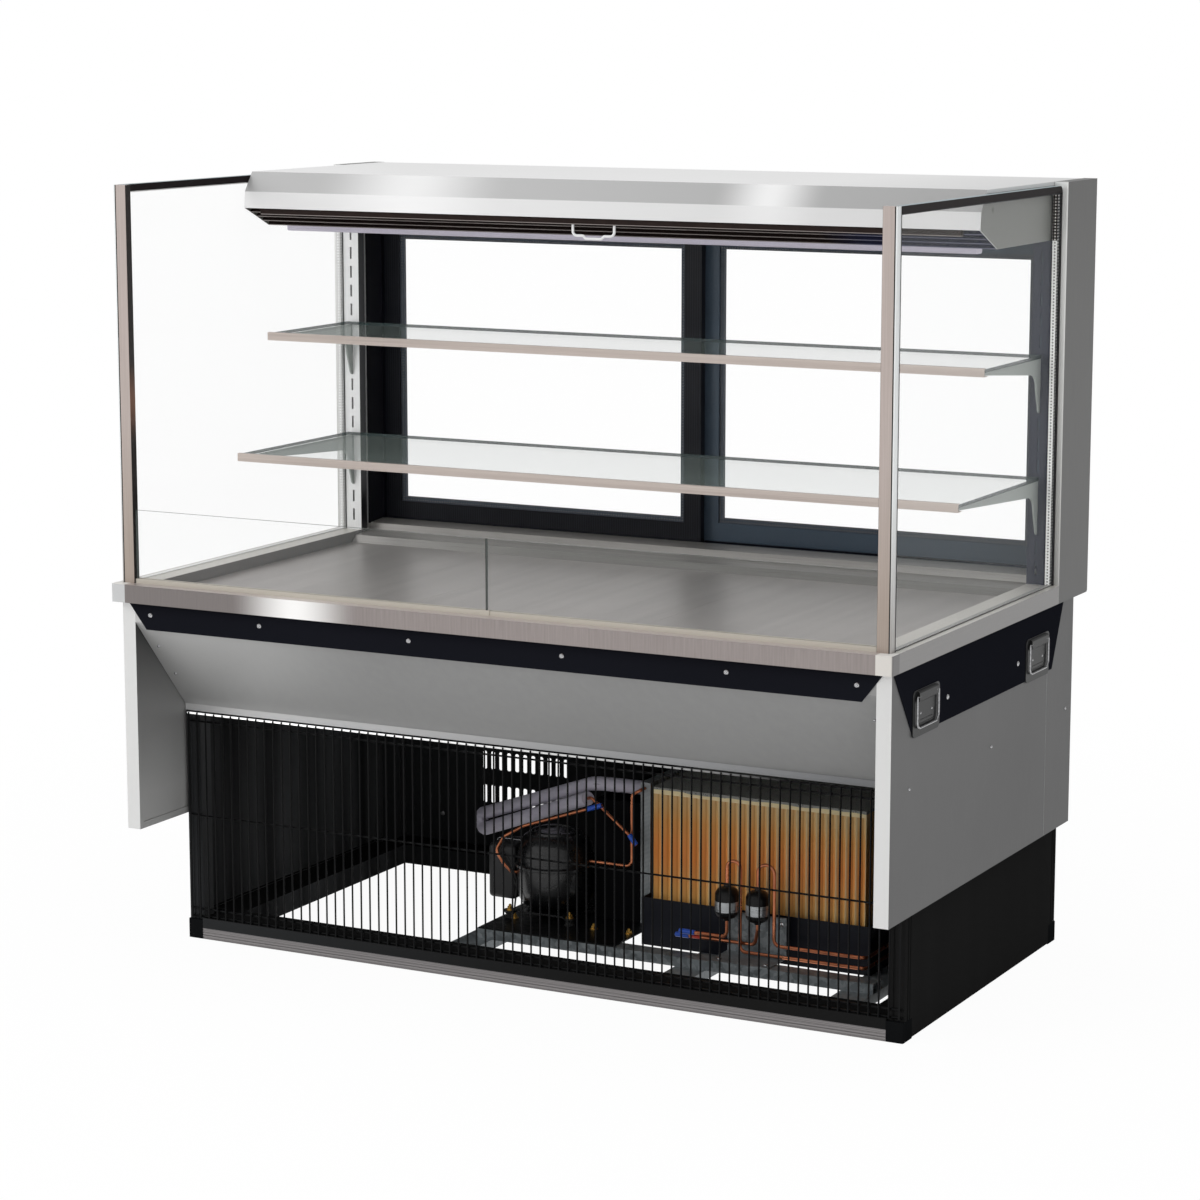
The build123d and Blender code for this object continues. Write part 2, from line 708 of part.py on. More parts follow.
# ---- Hood ----
HOOD_FACE = [
    (FRAME_REAR, HEADER_BOTTOM + HEADER_HEIGHT),
    (FRAME_REAR, HEIGHT),
    (back(HOOD_CROWN_SETBACK), HEIGHT),
    (back(HOOD_BROW_SETBACK), HOOD_BROW_HEIGHT),
    (back(HOOD_NOSE_SETBACK), HOOD_NOSE_HEIGHT),
]
HOOD_CHIN = (back(HOOD_CHIN_SETBACK), HOOD_CHIN_HEIGHT)


def hood_shell():
    """Folded top and brow, a flat soffit and two end plates that carry the curtain roller."""
    inner = HOOD_HALF - SHEET
    top = folded(HOOD_FACE[::-1], SHEET, "x", -inner, inner)
    soffit = block(
        (-inner, inner),
        (HOOD_CHIN[0] + SHEET, FRAME_FRONT),
        (HOOD_CHIN_HEIGHT, HOOD_CHIN_HEIGHT + SHEET),
    )
    outline = HOOD_FACE + [
        HOOD_CHIN,
        (FRAME_FRONT, HOOD_CHIN_HEIGHT),
        (FRAME_FRONT, HEADER_BOTTOM + HEADER_HEIGHT),
    ]
    end = prism(outline, "x", inner, HOOD_HALF)
    roller = (back(ROLLER_SETBACK), ROLLER_HEIGHT)
    end -= rod((inner - 1, *roller), (HOOD_HALF + 1, *roller), ROLLER_PIN_RADIUS + PIN_GAP)
    return [top, soffit] + both_sides(end)


def discharge_grille():
    """The air outlet under the nose: a sloping back plate with ribs along the case."""
    nose = Vector(*HOOD_FACE[-1])
    chin = Vector(*HOOD_CHIN)
    slope = (chin - nose).normalized()
    inward = Vector(-slope.Y, slope.X)
    pitch = ((chin - nose).length - DISCHARGE_START - DISCHARGE_RIB) / (DISCHARGE_RIBS - 1)
    base = nose + slope * DISCHARGE_START
    root = inward * (DISCHARGE_RIB_DEPTH - DISCHARGE_RIB)
    deep = inward * DISCHARGE_RIB_DEPTH
    outline = []
    for i in range(DISCHARGE_RIBS):
        foot = base + slope * (i * pitch)
        tip = foot + slope * DISCHARGE_RIB
        outline += [foot + root, foot, tip, tip + root]
    outline = outline[1:-1] + [tip + deep, base + deep]
    half = HOOD_HALF - SHEET - SEAT_GAP
    return prism([(p.X, p.Y) for p in outline], "x", -half, half)


def hood_lamp():
    front = back(LAMP_SETBACK)
    top = HOOD_CHIN_HEIGHT
    lamp = block((-LAMP_HALF, LAMP_HALF), (front, front + LAMP_WIDTH), (top - LAMP_HEIGHT, top))
    lower = lamp.edges().filter_by(Axis.X).group_by(Axis.Z)[0]
    return fillet(lower, LAMP_HEIGHT / 2)


# ---- Night curtain ----
BAR_FRONT = back(HOOD_NOSE_SETBACK) + SHEET
BAR_TOP = HOOD_NOSE_HEIGHT - SEAT_GAP


def curtain_roller():
    y, z = back(ROLLER_SETBACK), ROLLER_HEIGHT
    tube_end = HOOD_HALF - SHEET - ROLLER_END_GAP
    tube = rod((-tube_end, y, z), (tube_end, y, z), ROLLER_RADIUS)
    pin = rod((-HOOD_HALF, y, z), (HOOD_HALF, y, z), ROLLER_PIN_RADIUS)
    return tube + pin


def curtain_web():
    """The stretch of curtain between the roller and the pull bar when the curtain is up."""
    bar_top = (BAR_FRONT + CURTAIN_BAR_WIDTH / 2, BAR_TOP)
    centre = (back(ROLLER_SETBACK), ROLLER_HEIGHT)
    away = Vector(bar_top[0] - centre[0], bar_top[1] - centre[1])
    reach = ROLLER_RADIUS + SEAT_GAP
    lean = math.acos(reach / away.length)
    leave = away.normalized().rotate(Axis.Z, -math.degrees(lean)) * reach
    path = [bar_top, (centre[0] + leave.X, centre[1] + leave.Y)]
    return folded(path, -CURTAIN_THICKNESS, "x", -CURTAIN_HALF, CURTAIN_HALF)


def curtain_bar():
    """The pull bar and the wire grip that hangs from it."""
    y = (BAR_FRONT, BAR_FRONT + CURTAIN_BAR_WIDTH)
    rail = block((-CURTAIN_HALF, CURTAIN_HALF), y, (BAR_TOP - CURTAIN_BAR_HEIGHT, BAR_TOP))
    rail = fillet(rail.edges().filter_by(Axis.X).group_by(Axis.Z)[0], 2 * SHEET)
    middle = BAR_FRONT + CURTAIN_BAR_WIDTH / 2
    top = BAR_TOP - CURTAIN_BAR_HEIGHT / 2
    half = GRIP_WIDTH / 2 - GRIP_WIRE / 2
    low = BAR_TOP - GRIP_DROP
    dip = GRIP_DIP_WIDTH / 2
    corners = [
        (-half, middle, top),
        (-half, middle, low),
        (-dip - GRIP_DIP, middle, low),
        (-dip, middle, low - GRIP_DIP),
        (dip, middle, low - GRIP_DIP),
        (dip + GRIP_DIP, middle, low),
        (half, middle, low),
        (half, middle, top),
    ]
    bends = [1.6 * GRIP_WIRE] + 4 * [0.6 * GRIP_WIRE] + [1.6 * GRIP_WIRE]
    return rail + bent_rod(corners, GRIP_WIRE / 2, bends)


# ---- Rear doors and their frame ----
def door_grooves(start, deep):
    """Outline points across the two door grooves; start is the face and deep the groove floor."""
    points = []
    y = FRAME_FRONT + TRACK_SETBACK
    for _ in range(2):
        points += [(y, start), (y, deep), (y + GROOVE, deep), (y + GROOVE, start)]
        y += GROOVE + TRACK_RIB
    return points


def door_frame():
    half = COLUMN_INNER - SLIDE_GAP
    sill = [(FRAME_FRONT, RIM_UNDERSIDE), (FRAME_FRONT, SILL_TOP)]
    sill += door_grooves(SILL_TOP, SILL_TOP - SILL_GROOVE)
    sill += [(FRAME_REAR, SILL_TOP), (FRAME_REAR, RIM_UNDERSIDE)]
    header_top = HEADER_BOTTOM + HEADER_HEIGHT
    header = [(FRAME_FRONT, header_top), (FRAME_FRONT, HEADER_BOTTOM)]
    header += door_grooves(HEADER_BOTTOM, HEADER_BOTTOM + HEADER_GROOVE)
    header += [(FRAME_REAR, HEADER_BOTTOM), (FRAME_REAR, header_top)]
    jamb = block((OPENING_HALF, half), (FRAME_FRONT, FRAME_REAR), (SILL_TOP, HEADER_BOTTOM))
    return [prism(sill, "x", -half, half), prism(header, "x", -half, half)] + both_sides(jamb)


DOOR_BOTTOM = SILL_TOP - SILL_GROOVE + SEAT_GAP
DOOR_TOP = HEADER_BOTTOM + HEADER_GROOVE / 2
WINDOW_BOTTOM = DOOR_BOTTOM + BOTTOM_RAIL
WINDOW_TOP = DOOR_TOP - TOP_RAIL


def door_front(side):
    """The left door runs in the front groove, the right door in the rear one."""
    first = FRAME_FRONT + TRACK_SETBACK + SLIDE_GAP
    return first if side == "left" else first + GROOVE + TRACK_RIB


def door_span(side):
    outer = OPENING_HALF - SLIDE_GAP
    return (-outer, DOOR_OVERLAP / 2) if side == "left" else (-DOOR_OVERLAP / 2, outer)


def rear_door(side):
    x = door_span(side)
    y = (door_front(side), door_front(side) + DOOR_THICKNESS)
    frame = block(x, y, (DOOR_BOTTOM, DOOR_TOP))
    window = (x[0] + STILE_WIDTH, x[1] - STILE_WIDTH)
    frame -= block(window, (y[0] - 1, y[1] + 1), (WINDOW_BOTTOM, WINDOW_TOP))
    glass = DOOR_PANE * 2 + DOOR_PANE_GAP
    middle = (y[0] + y[1]) / 2
    frame -= block(
        (window[0] - GLASS_BITE, window[1] + GLASS_BITE),
        (middle - glass / 2, middle + glass / 2),
        (WINDOW_BOTTOM - GLASS_BITE, WINDOW_TOP + GLASS_BITE),
    )
    pull_x = x[0] + STILE_WIDTH / 2 if side == "left" else x[1] - STILE_WIDTH / 2
    pull = Pos(pull_x, y[1], PULL_HEIGHT) * Rot(90, 0, 0) * extrude(
        SlotOverall(PULL_LENGTH, PULL_WIDTH, rotation=90), amount=PULL_DEPTH, both=True
    )
    edge_deep = (DOOR_THICKNESS - glass) / 2 - SHEET / 2
    finger_cut = pull & block(
        (x[0], x[1]), (y[1] - edge_deep, y[1] + 1), (PULL_HEIGHT - PULL_LENGTH, PULL_HEIGHT + PULL_LENGTH)
    )
    return frame - finger_cut


def rear_door_glass(side):
    """Two panes and the spacer frame between them."""
    x = door_span(side)
    middle = door_front(side) + DOOR_THICKNESS / 2
    reach = GLASS_BITE - SEAT_GAP
    x = (x[0] + STILE_WIDTH - reach, x[1] - STILE_WIDTH + reach)
    z = (WINDOW_BOTTOM - reach, WINDOW_TOP + reach)
    half_gap = DOOR_PANE_GAP / 2
    panes = [
        block(x, (middle - half_gap - DOOR_PANE, middle - half_gap), z),
        block(x, (middle + half_gap, middle + half_gap + DOOR_PANE), z),
    ]
    gap = (middle - half_gap, middle + half_gap)
    width = GLASS_BITE + SPACER_WIDTH
    spacer = block(x, gap, z) - block((x[0] + width, x[1] - width), gap, (z[0] + width, z[1] - width))
    return panes + [spacer]


# ---- Shelves ----
def shelf_standards():
    """Slotted channels at the rear corners, open to the rear."""
    half = STANDARD_WIDTH / 2
    rear = STANDARD_FRONT + STANDARD_DEPTH
    path = [
        (STANDARD_X - half, rear),
        (STANDARD_X - half, STANDARD_FRONT),
        (STANDARD_X + half, STANDARD_FRONT),
        (STANDARD_X + half, rear),
    ]
    standard = folded(path[::-1], SHEET, "z", COUNTER_HEIGHT, HOOD_CHIN_HEIGHT - SEAT_GAP)
    slots = []
    z = COUNTER_HEIGHT + SLOT_FIRST
    while z < HOOD_CHIN_HEIGHT - SLOT_LENGTH:
        slots.append(Pos(STANDARD_X, STANDARD_FRONT, z) * Box(SLOT_WIDTH, 4 * SHEET, SLOT_LENGTH))
        z += SLOT_PITCH
    return both_sides(standard - slots)


def hook_height(level):
    """The slot nearest below the given level: the arm hooks onto its lower edge."""
    first = COUNTER_HEIGHT + SLOT_FIRST
    return first + math.floor((level - first) / SLOT_PITCH) * SLOT_PITCH


def shelf_arm(setback, height):
    """A flat arm with a curved gusset and a hook in the standard, under one end of a shelf."""
    top = height - SHELF_TRIM_SHEET - SHELF_GLASS
    nose = back(setback) + SHELF_TRIM_SHEET + SEAT_GAP
    rear = STANDARD_FRONT - SEAT_GAP
    heel = rear - GUSSET_WIDTH - GUSSET_CURVE
    foot = top - GUSSET_DROP
    edge = [
        Line((nose, top), (rear, top)),
        Line((rear, top), (rear, foot)),
        ThreePointArc((rear, foot), (rear - 4, foot + 2), (rear - 8, foot + 10)),
        Line((rear - 8, foot + 10), (rear - GUSSET_WIDTH, top - ARM_HEEL - GUSSET_CURVE)),
        ThreePointArc(
            (rear - GUSSET_WIDTH, top - ARM_HEEL - GUSSET_CURVE),
            (rear - GUSSET_WIDTH - 0.3 * GUSSET_CURVE, top - ARM_HEEL - 0.3 * GUSSET_CURVE),
            (heel, top - ARM_HEEL),
        ),
        Line((heel, top - ARM_HEEL), (nose + SHELF_TRIM_DEPTH, top - ARM_NOSE)),
        Line((nose + SHELF_TRIM_DEPTH, top - ARM_NOSE), (nose, top - ARM_NOSE)),
        Line((nose, top - ARM_NOSE), (nose, top)),
    ]
    side = STANDARD_X - ARM_THICKNESS / 2
    plane = Plane(origin=(side, 0, 0), x_dir=(0, 1, 0), z_dir=(1, 0, 0))
    arm = extrude(plane * make_face(edge), amount=ARM_THICKNESS)
    slot = hook_height(top - SLOT_LENGTH)
    hook = block(
        (side, side + ARM_THICKNESS),
        (rear - SHEET, rear + SEAT_GAP + SHEET + HOOK_LENGTH),
        (slot - SLOT_LENGTH / 2 + SEAT_GAP, slot + SLOT_LENGTH / 4),
    )
    return arm + hook


def shelf_brackets():
    arms = []
    for setback, height in SHELVES:
        arms += both_sides(shelf_arm(setback, height))
    return arms


SHELVES = [
    (UPPER_SHELF_SETBACK, UPPER_SHELF_HEIGHT),
    (LOWER_SHELF_SETBACK, LOWER_SHELF_HEIGHT),
]


def shelf_glass():
    """One toughened pane per shelf, lying on the two arms."""
    half = SHELF_TRIM_HALF - SHEET
    panes = []
    for setback, height in SHELVES:
        y = (back(setback) + SHELF_TRIM_SHEET + SEAT_GAP, STANDARD_FRONT - SHELF_REAR_GAP)
        top = height - SHELF_TRIM_SHEET
        panes.append(block((-half, half), y, (top - SHELF_GLASS, top)))
    return panes


def shelf_trims():
    """A folded front edge for each shelf, which grips the pane and the noses of the arms."""
    trims = []
    for setback, height in SHELVES:
        front = back(setback)
        low = height - SHELF_TRIM_HEIGHT
        path = [
            (front + SHELF_TRIM_DEPTH, low),
            (front, low),
            (front, height),
            (front + SHELF_TRIM_LIP, height),
        ]
        trims.append(folded(path, SHELF_TRIM_SHEET, "x", -SHELF_TRIM_HALF, SHELF_TRIM_HALF))
    return trims


# ---- Machine base ----
def base_front_rail():
    """An aluminium extrusion with fine ribs along its face."""
    front = back(BASE_SETBACK)
    pitch = RAIL_HEIGHT / (2 * RAIL_RIBS + 1)
    outline = [(front + RAIL_DEPTH, 0), (front, 0)]
    for i in range(RAIL_RIBS):
        low = (2 * i + 1) * pitch
        outline += [
            (front, low),
            (front + RAIL_RIB_DEPTH, low),
            (front + RAIL_RIB_DEPTH, low + pitch),
            (front, low + pitch),
        ]
    outline += [(front, RAIL_HEIGHT), (front + RAIL_DEPTH, RAIL_HEIGHT)]
    half = BASE_HALF - BASE_CAP - SEAT_GAP
    return prism(outline, "x", -half, half)


def four_corners(piece):
    """A piece of the front right corner, repeated at the other three corners of the base."""
    middle = back((BASE_SETBACK + BASE_REAR_SETBACK) / 2)
    half_turn = Pos(0, middle, 0) * Rot(0, 0, 180) * Pos(0, -middle, 0)
    pair = both_sides(piece)
    return pair + [half_turn * p for p in pair]


def base_post():
    """A grooved corner extrusion behind the grille, notched at its top for the skirt."""
    outer_x, outer_y = BASE_HALF, POST_FRONT
    skirt_rear = back(SKIRT_LIP_SETBACK) + SKIRT_RETURN
    skirt_low = SKIRT_LIP_TOP - SKIRT_LIP
    post = block((outer_x - BASE_POST, outer_x), (outer_y, POST_REAR), (BASE_CAP_HEIGHT, TANK_FLOOR_HEIGHT))
    post -= block(
        (outer_x - BASE_POST - 1, outer_x + 1),
        (outer_y - 1, skirt_rear + SEAT_GAP),
        (skirt_low - SEAT_GAP, TANK_FLOOR_HEIGHT + 1),
    )
    groove = BASE_POST / 8
    for share in (0.35, 0.65):
        x = outer_x - BASE_POST * share
        y = outer_y + BASE_POST * share
        z = (BASE_CAP_HEIGHT - 1, TANK_FLOOR_HEIGHT + 1)
        post -= block((x - groove / 2, x + groove / 2), (outer_y - 1, outer_y + SHEET), z)
        post -= block((outer_x - SHEET, outer_x + 1), (y - groove / 2, y + groove / 2), z)
    return post


def base_frame():
    """Four pressed channels and four corner posts."""
    wall, top = BASE_CHANNEL_WALL, BASE_CHANNEL_TOP
    front, rear = back(BASE_SETBACK), back(BASE_REAR_SETBACK)
    inner_front = front + BASE_CHANNEL_WIDTH
    inner_rear = rear - BASE_CHANNEL_WIDTH
    half = BASE_HALF - BASE_CAP - SEAT_GAP
    front_path = [(front, RAIL_HEIGHT), (front, top), (inner_front, top), (inner_front, FLOOR_GAP)]
    rear_path = [(inner_rear, FLOOR_GAP), (inner_rear, top), (rear, top), (rear, FLOOR_GAP)]
    side_path = [
        (BASE_HALF - BASE_CHANNEL_WIDTH, FLOOR_GAP),
        (BASE_HALF - BASE_CHANNEL_WIDTH, top),
        (BASE_HALF - SHEET, top),
        (BASE_HALF - SHEET, FLOOR_GAP),
    ]
    channels = [
        folded(front_path, wall, "x", -half, half),
        folded(rear_path, wall, "x", -half, half),
    ]
    channels += both_sides(folded(side_path, wall, "y", inner_front, inner_rear))
    return channels + four_corners(base_post())


def base_corner_caps():
    """Moulded feet at the four corners, under the posts."""
    front = back(BASE_SETBACK)
    cap = block((BASE_HALF - BASE_CAP, BASE_HALF), (front, POST_REAR), (0, BASE_CAP_HEIGHT))
    outer = cap.edges().filter_by(Axis.Z).sort_by(lambda e: e.center().X - e.center().Y)[-1]
    return four_corners(fillet(outer, 2 * SHEET))


def base_sides():
    """Black side panels between the posts, folded inwards at top and bottom."""
    y = (POST_REAR, back(BASE_SETBACK) + back(BASE_REAR_SETBACK) - POST_REAR)
    fold = 4 * BASE_CHANNEL_WALL
    bottom = BASE_CHANNEL_TOP
    path = [
        (BASE_HALF - fold, TANK_FLOOR_HEIGHT),
        (BASE_HALF, TANK_FLOOR_HEIGHT),
        (BASE_HALF, FLOOR_GAP),
    ]
    skin = folded(path, SHEET, "y", y[0], y[1])
    ledge = block((BASE_HALF - fold, BASE_HALF), y, (bottom, bottom + SHEET))
    return both_sides(skin + ledge)


def base_rear_panel():
    """The rear panel of the machine space with two groups of upright air slots."""
    rear = back(BASE_REAR_SETBACK)
    half = BASE_HALF - BASE_CAP - SEAT_GAP
    panel = block((-half, half), (rear - SHEET, rear), (BASE_CHANNEL_TOP, TANK_FLOOR_HEIGHT))
    spots = GridLocations(LOUVRE_PITCH, LOUVRE_PITCH, LOUVRES_PER_GROUP, 1)
    slot = Box(LOUVRE_WIDTH, 4 * SHEET, LOUVRE_LENGTH)
    slot = chamfer(slot.edges().filter_by(Axis.Y), LOUVRE_WIDTH / 4)
    cuts = []
    for centre in (-LOUVRE_GROUP_CENTRE, LOUVRE_GROUP_CENTRE):
        for height in LOUVRE_ROW_HEIGHTS:
            cuts += [Pos(centre, rear, height) * spot * slot for spot in spots]
    gland = rod((GLAND_X, rear - 3 * SHEET, GLAND_HEIGHT), (GLAND_X, rear + 1, GLAND_HEIGHT), GLAND_BORE)
    return panel - cuts - gland


# ---- Front grille ----
def front_grille():
    """Upright wires welded in front of five cross wires."""
    half = BASE_HALF - WIRE
    count = int(2 * half / WIRE_PITCH) + 1
    first = -(count - 1) * WIRE_PITCH / 2
    y = back(BASE_SETBACK) + WIRE / 2
    bottom = BASE_CHANNEL_TOP
    uprights = []
    for i in range(count):
        x = first + i * WIRE_PITCH
        uprights.append(bar((x, y, bottom), (x, y, GRILLE_TOP), WIRE))
    heights = [bottom + offset + WIRE / 2 for offset in CROSS_WIRE_OFFSETS]
    heights += [GRILLE_TOP - offset - WIRE / 2 for offset in CROSS_WIRE_OFFSETS]
    heights.append(CROSS_WIRE_MIDDLE)
    reach = half + WIRE / 2
    crossing = [bar((-reach, y + WIRE, z), (reach, y + WIRE, z), WIRE) for z in heights]
    return uprights[0].fuse(*uprights[1:], *crossing)


# ---- Skirt, side panels and bands ----
def front_skirt():
    front = back(WING_SETBACK)
    lip = back(SKIRT_LIP_SETBACK)
    path = [
        (front, RIM_UNDERSIDE),
        (front, RIM_UNDERSIDE - SKIRT_TOP_FLANGE),
        (lip, SKIRT_LIP_TOP),
        (lip, SKIRT_LIP_TOP - SKIRT_LIP),
        (lip + SKIRT_RETURN, SKIRT_LIP_TOP - SKIRT_LIP),
    ]
    return folded(path, -SHEET, "x", -WING_INNER, WING_INNER)


def wing(y):
    """One folded panel, 27 mm thick, with a shallow recess on its inner face."""
    z = (WING_BOTTOM, RIM_UNDERSIDE)
    panel = block((WING_INNER, WING_OUTER), y, z)
    panel -= block(
        (WING_INNER - 1, WING_INNER + WING_RECESS),
        (y[0] + WING_MARGIN, y[1] - WING_MARGIN),
        (z[0] + WING_MARGIN, z[1] - WING_MARGIN),
    )
    return fillet(panel.edges().filter_by(Axis.Z).group_by(Axis.X)[-1], SHEET / 2)


def side_panels():
    seam = back(WING_SEAM_SETBACK)
    front_part = wing((back(WING_SETBACK), seam))
    rear_part = wing((seam + WING_SEAM, back(WING_REAR_SETBACK)))
    return both_sides(front_part) + both_sides(rear_part)


def black_bands():
    """A trapezoid plate across the front and one on each side, under the countertop."""
    top = RIM_UNDERSIDE
    low = top - FRONT_BAND_HEIGHT
    narrow = FRONT_BAND_HALF - FRONT_BAND_CUT
    front_outline = [(-FRONT_BAND_HALF, top), (FRONT_BAND_HALF, top), (narrow, low), (-narrow, low)]
    face = back(WING_SETBACK)
    front_band = prism(front_outline, "y", face - BAND, face)
    start = back(SIDE_BAND_START)
    end = start + SIDE_BAND_LENGTH
    low = top - SIDE_BAND_HEIGHT
    side_outline = [(start, top), (end, top), (end - SIDE_BAND_REAR_CUT, low), (start + SIDE_BAND_FRONT_CUT, low)]
    side_band = prism(side_outline, "x", BAND_OUTER - BAND, BAND_OUTER)
    return [front_band] + both_sides(side_band)


# ---- Lifting handles ----
def handle_plate(setback):
    """A pressed plate with a raised housing along its top for the pivots of the bail."""
    middle = back(setback)
    length = PLATE_LENGTH / 2
    z = (HANDLE_HEIGHT - PLATE_HEIGHT / 2, HANDLE_HEIGHT + PLATE_HEIGHT / 2)
    plate = block((BAND_OUTER, PLATE_OUTER), (middle - length, middle + length), z)
    plate = fillet(plate.edges().filter_by(Axis.X), PLATE_CORNER)
    face = BAIL_X + BAIL_WIRE_RADIUS
    low = PIVOT_HEIGHT - HOUSING_HEIGHT / 2
    high = PIVOT_HEIGHT + HOUSING_HEIGHT / 2
    bevel = (face - PLATE_OUTER) / 2
    outline = [
        (PLATE_OUTER, low),
        (face - bevel, low),
        (face, low + bevel),
        (face, high - bevel),
        (face - bevel, high),
        (PLATE_OUTER, high),
    ]
    half = HOUSING_LENGTH / 2
    housing = prism(outline, "y", middle - half, middle + half)
    bore = BAIL_WIRE_RADIUS + PIN_GAP
    deep = BAIL_PIN + SEAT_GAP
    for end in (-1, 1):
        mouth = (BAIL_X, middle + end * (half + 1), PIVOT_HEIGHT)
        inner = (BAIL_X, middle + end * (half - deep), PIVOT_HEIGHT)
        housing -= rod(mouth, inner, bore)
    return plate + housing


def handle_plates():
    plates = []
    for setback in HANDLE_SETBACKS.values():
        plates += both_sides(handle_plate(setback))
    return plates


def bail(side, place):
    """A wire bail whose turned-in ends sit in the housing. It hangs down when it is not used."""
    middle = back(HANDLE_SETBACKS[place])
    half = BAIL_SPAN / 2
    inner = HOUSING_LENGTH / 2 - BAIL_PIN
    low = PIVOT_HEIGHT - BAIL_DROP
    points = [
        (BAIL_X, middle - inner, PIVOT_HEIGHT),
        (BAIL_X, middle - half, PIVOT_HEIGHT),
        (BAIL_X, middle - half, low),
        (BAIL_X, middle + half, low),
        (BAIL_X, middle + half, PIVOT_HEIGHT),
        (BAIL_X, middle + inner, PIVOT_HEIGHT),
    ]
    tight = 1.5 * BAIL_WIRE_RADIUS
    wire = bent_rod(points, BAIL_WIRE_RADIUS, [tight, BAIL_CORNER, BAIL_CORNER, tight])
    for end, start in ((points[0], points[1]), (points[-1], points[-2])):
        seat = (BAIL_X, start[1] + math.copysign(tight, end[1] - start[1]), PIVOT_HEIGHT)
        wire += rod(seat, end, BAIL_WIRE_RADIUS)
    return wire if side == "right" else mirror(wire, Plane.YZ)


# ---- Screws ----
def screws():
    heads = []
    front_face = back(WING_SETBACK) - BAND
    z = RIM_UNDERSIDE - FRONT_SCREW_DROP
    for x in FRONT_SCREW_X:
        heads += both_sides(pan_head((x, front_face, z), (0, -1, 0), SCREW_RADIUS, SCREW_HEAD))
    z = RIM_UNDERSIDE - SIDE_SCREW_DROP
    for setback in SIDE_SCREW_SETBACKS:
        heads += both_sides(pan_head((BAND_OUTER, back(setback), z), (1, 0, 0), SCREW_RADIUS, SCREW_HEAD))
    for setback in PANEL_SCREW_SETBACKS:
        spot = (WING_OUTER, back(setback), PANEL_SCREW_HEIGHT)
        heads += both_sides(pan_head(spot, (1, 0, 0), PANEL_SCREW_RADIUS, SCREW_HEAD))
    return heads + skirt_screws()


def skirt_screws():
    """Small screws down each edge of the sloping skirt."""
    top = RIM_UNDERSIDE - SKIRT_TOP_FLANGE
    run = SKIRT_LIP_SETBACK - WING_SETBACK
    fall = SKIRT_LIP_TOP - top
    heads = []
    for setback in SKIRT_SCREW_SETBACKS:
        z = top + fall * (setback - WING_SETBACK) / run
        spot = (WING_INNER - SKIRT_SCREW_INSET, back(setback), z)
        heads += both_sides(pan_head(spot, (0, fall, -run), PANEL_SCREW_RADIUS, SCREW_HEAD))
    return heads


# ---- Condensing unit ----
def channel_along_y(centre, width, y, z):
    path = [
        (centre - width / 2, z[0]),
        (centre - width / 2, z[1]),
        (centre + width / 2, z[1]),
        (centre + width / 2, z[0]),
    ]
    return folded(path, UNIT_WALL, "y", y[0], y[1])


def drier_bracket():
    """An upright plate with a foot, folded from galvanised sheet."""
    rail_top = UNIT_TOP + UNIT_RAIL_HEIGHT
    foot = back(LONG_RAIL_SETBACKS[0])
    upright = back(DRIER_BRACKET_SETBACK)
    path = [(foot, rail_top + UNIT_WALL), (upright, rail_top + UNIT_WALL), (upright, DRIER_BRACKET_TOP)]
    return folded(path, UNIT_WALL, "x", *DRIER_BRACKET_X)


def unit_base():
    """Cross rails between the base channels, two long rails on them, the unit plate and a bracket."""
    y = (back(BASE_SETBACK + BASE_CHANNEL_WIDTH), back(BASE_REAR_SETBACK - BASE_CHANNEL_WIDTH))
    rails = [
        channel_along_y(x, CROSS_RAIL_WIDTH, y, (UNIT_TOP - UNIT_RAIL_HEIGHT, UNIT_TOP)) for x in CROSS_RAIL_X
    ]
    for setback in LONG_RAIL_SETBACKS:
        front = back(setback)
        path = [
            (front, UNIT_TOP),
            (front, UNIT_TOP + UNIT_RAIL_HEIGHT),
            (front + LONG_RAIL_WIDTH, UNIT_TOP + UNIT_RAIL_HEIGHT),
            (front + LONG_RAIL_WIDTH, UNIT_TOP),
        ]
        rails.append(folded(path, UNIT_WALL, "x", *LONG_RAIL_ENDS))
    front, rear = (back(s) for s in LONG_RAIL_SETBACKS)
    plate = block(UNIT_PLATE_X, (front, rear + LONG_RAIL_WIDTH), (PLATE_TOP - UNIT_PLATE, PLATE_TOP))
    return rails + [plate, drier_bracket()]


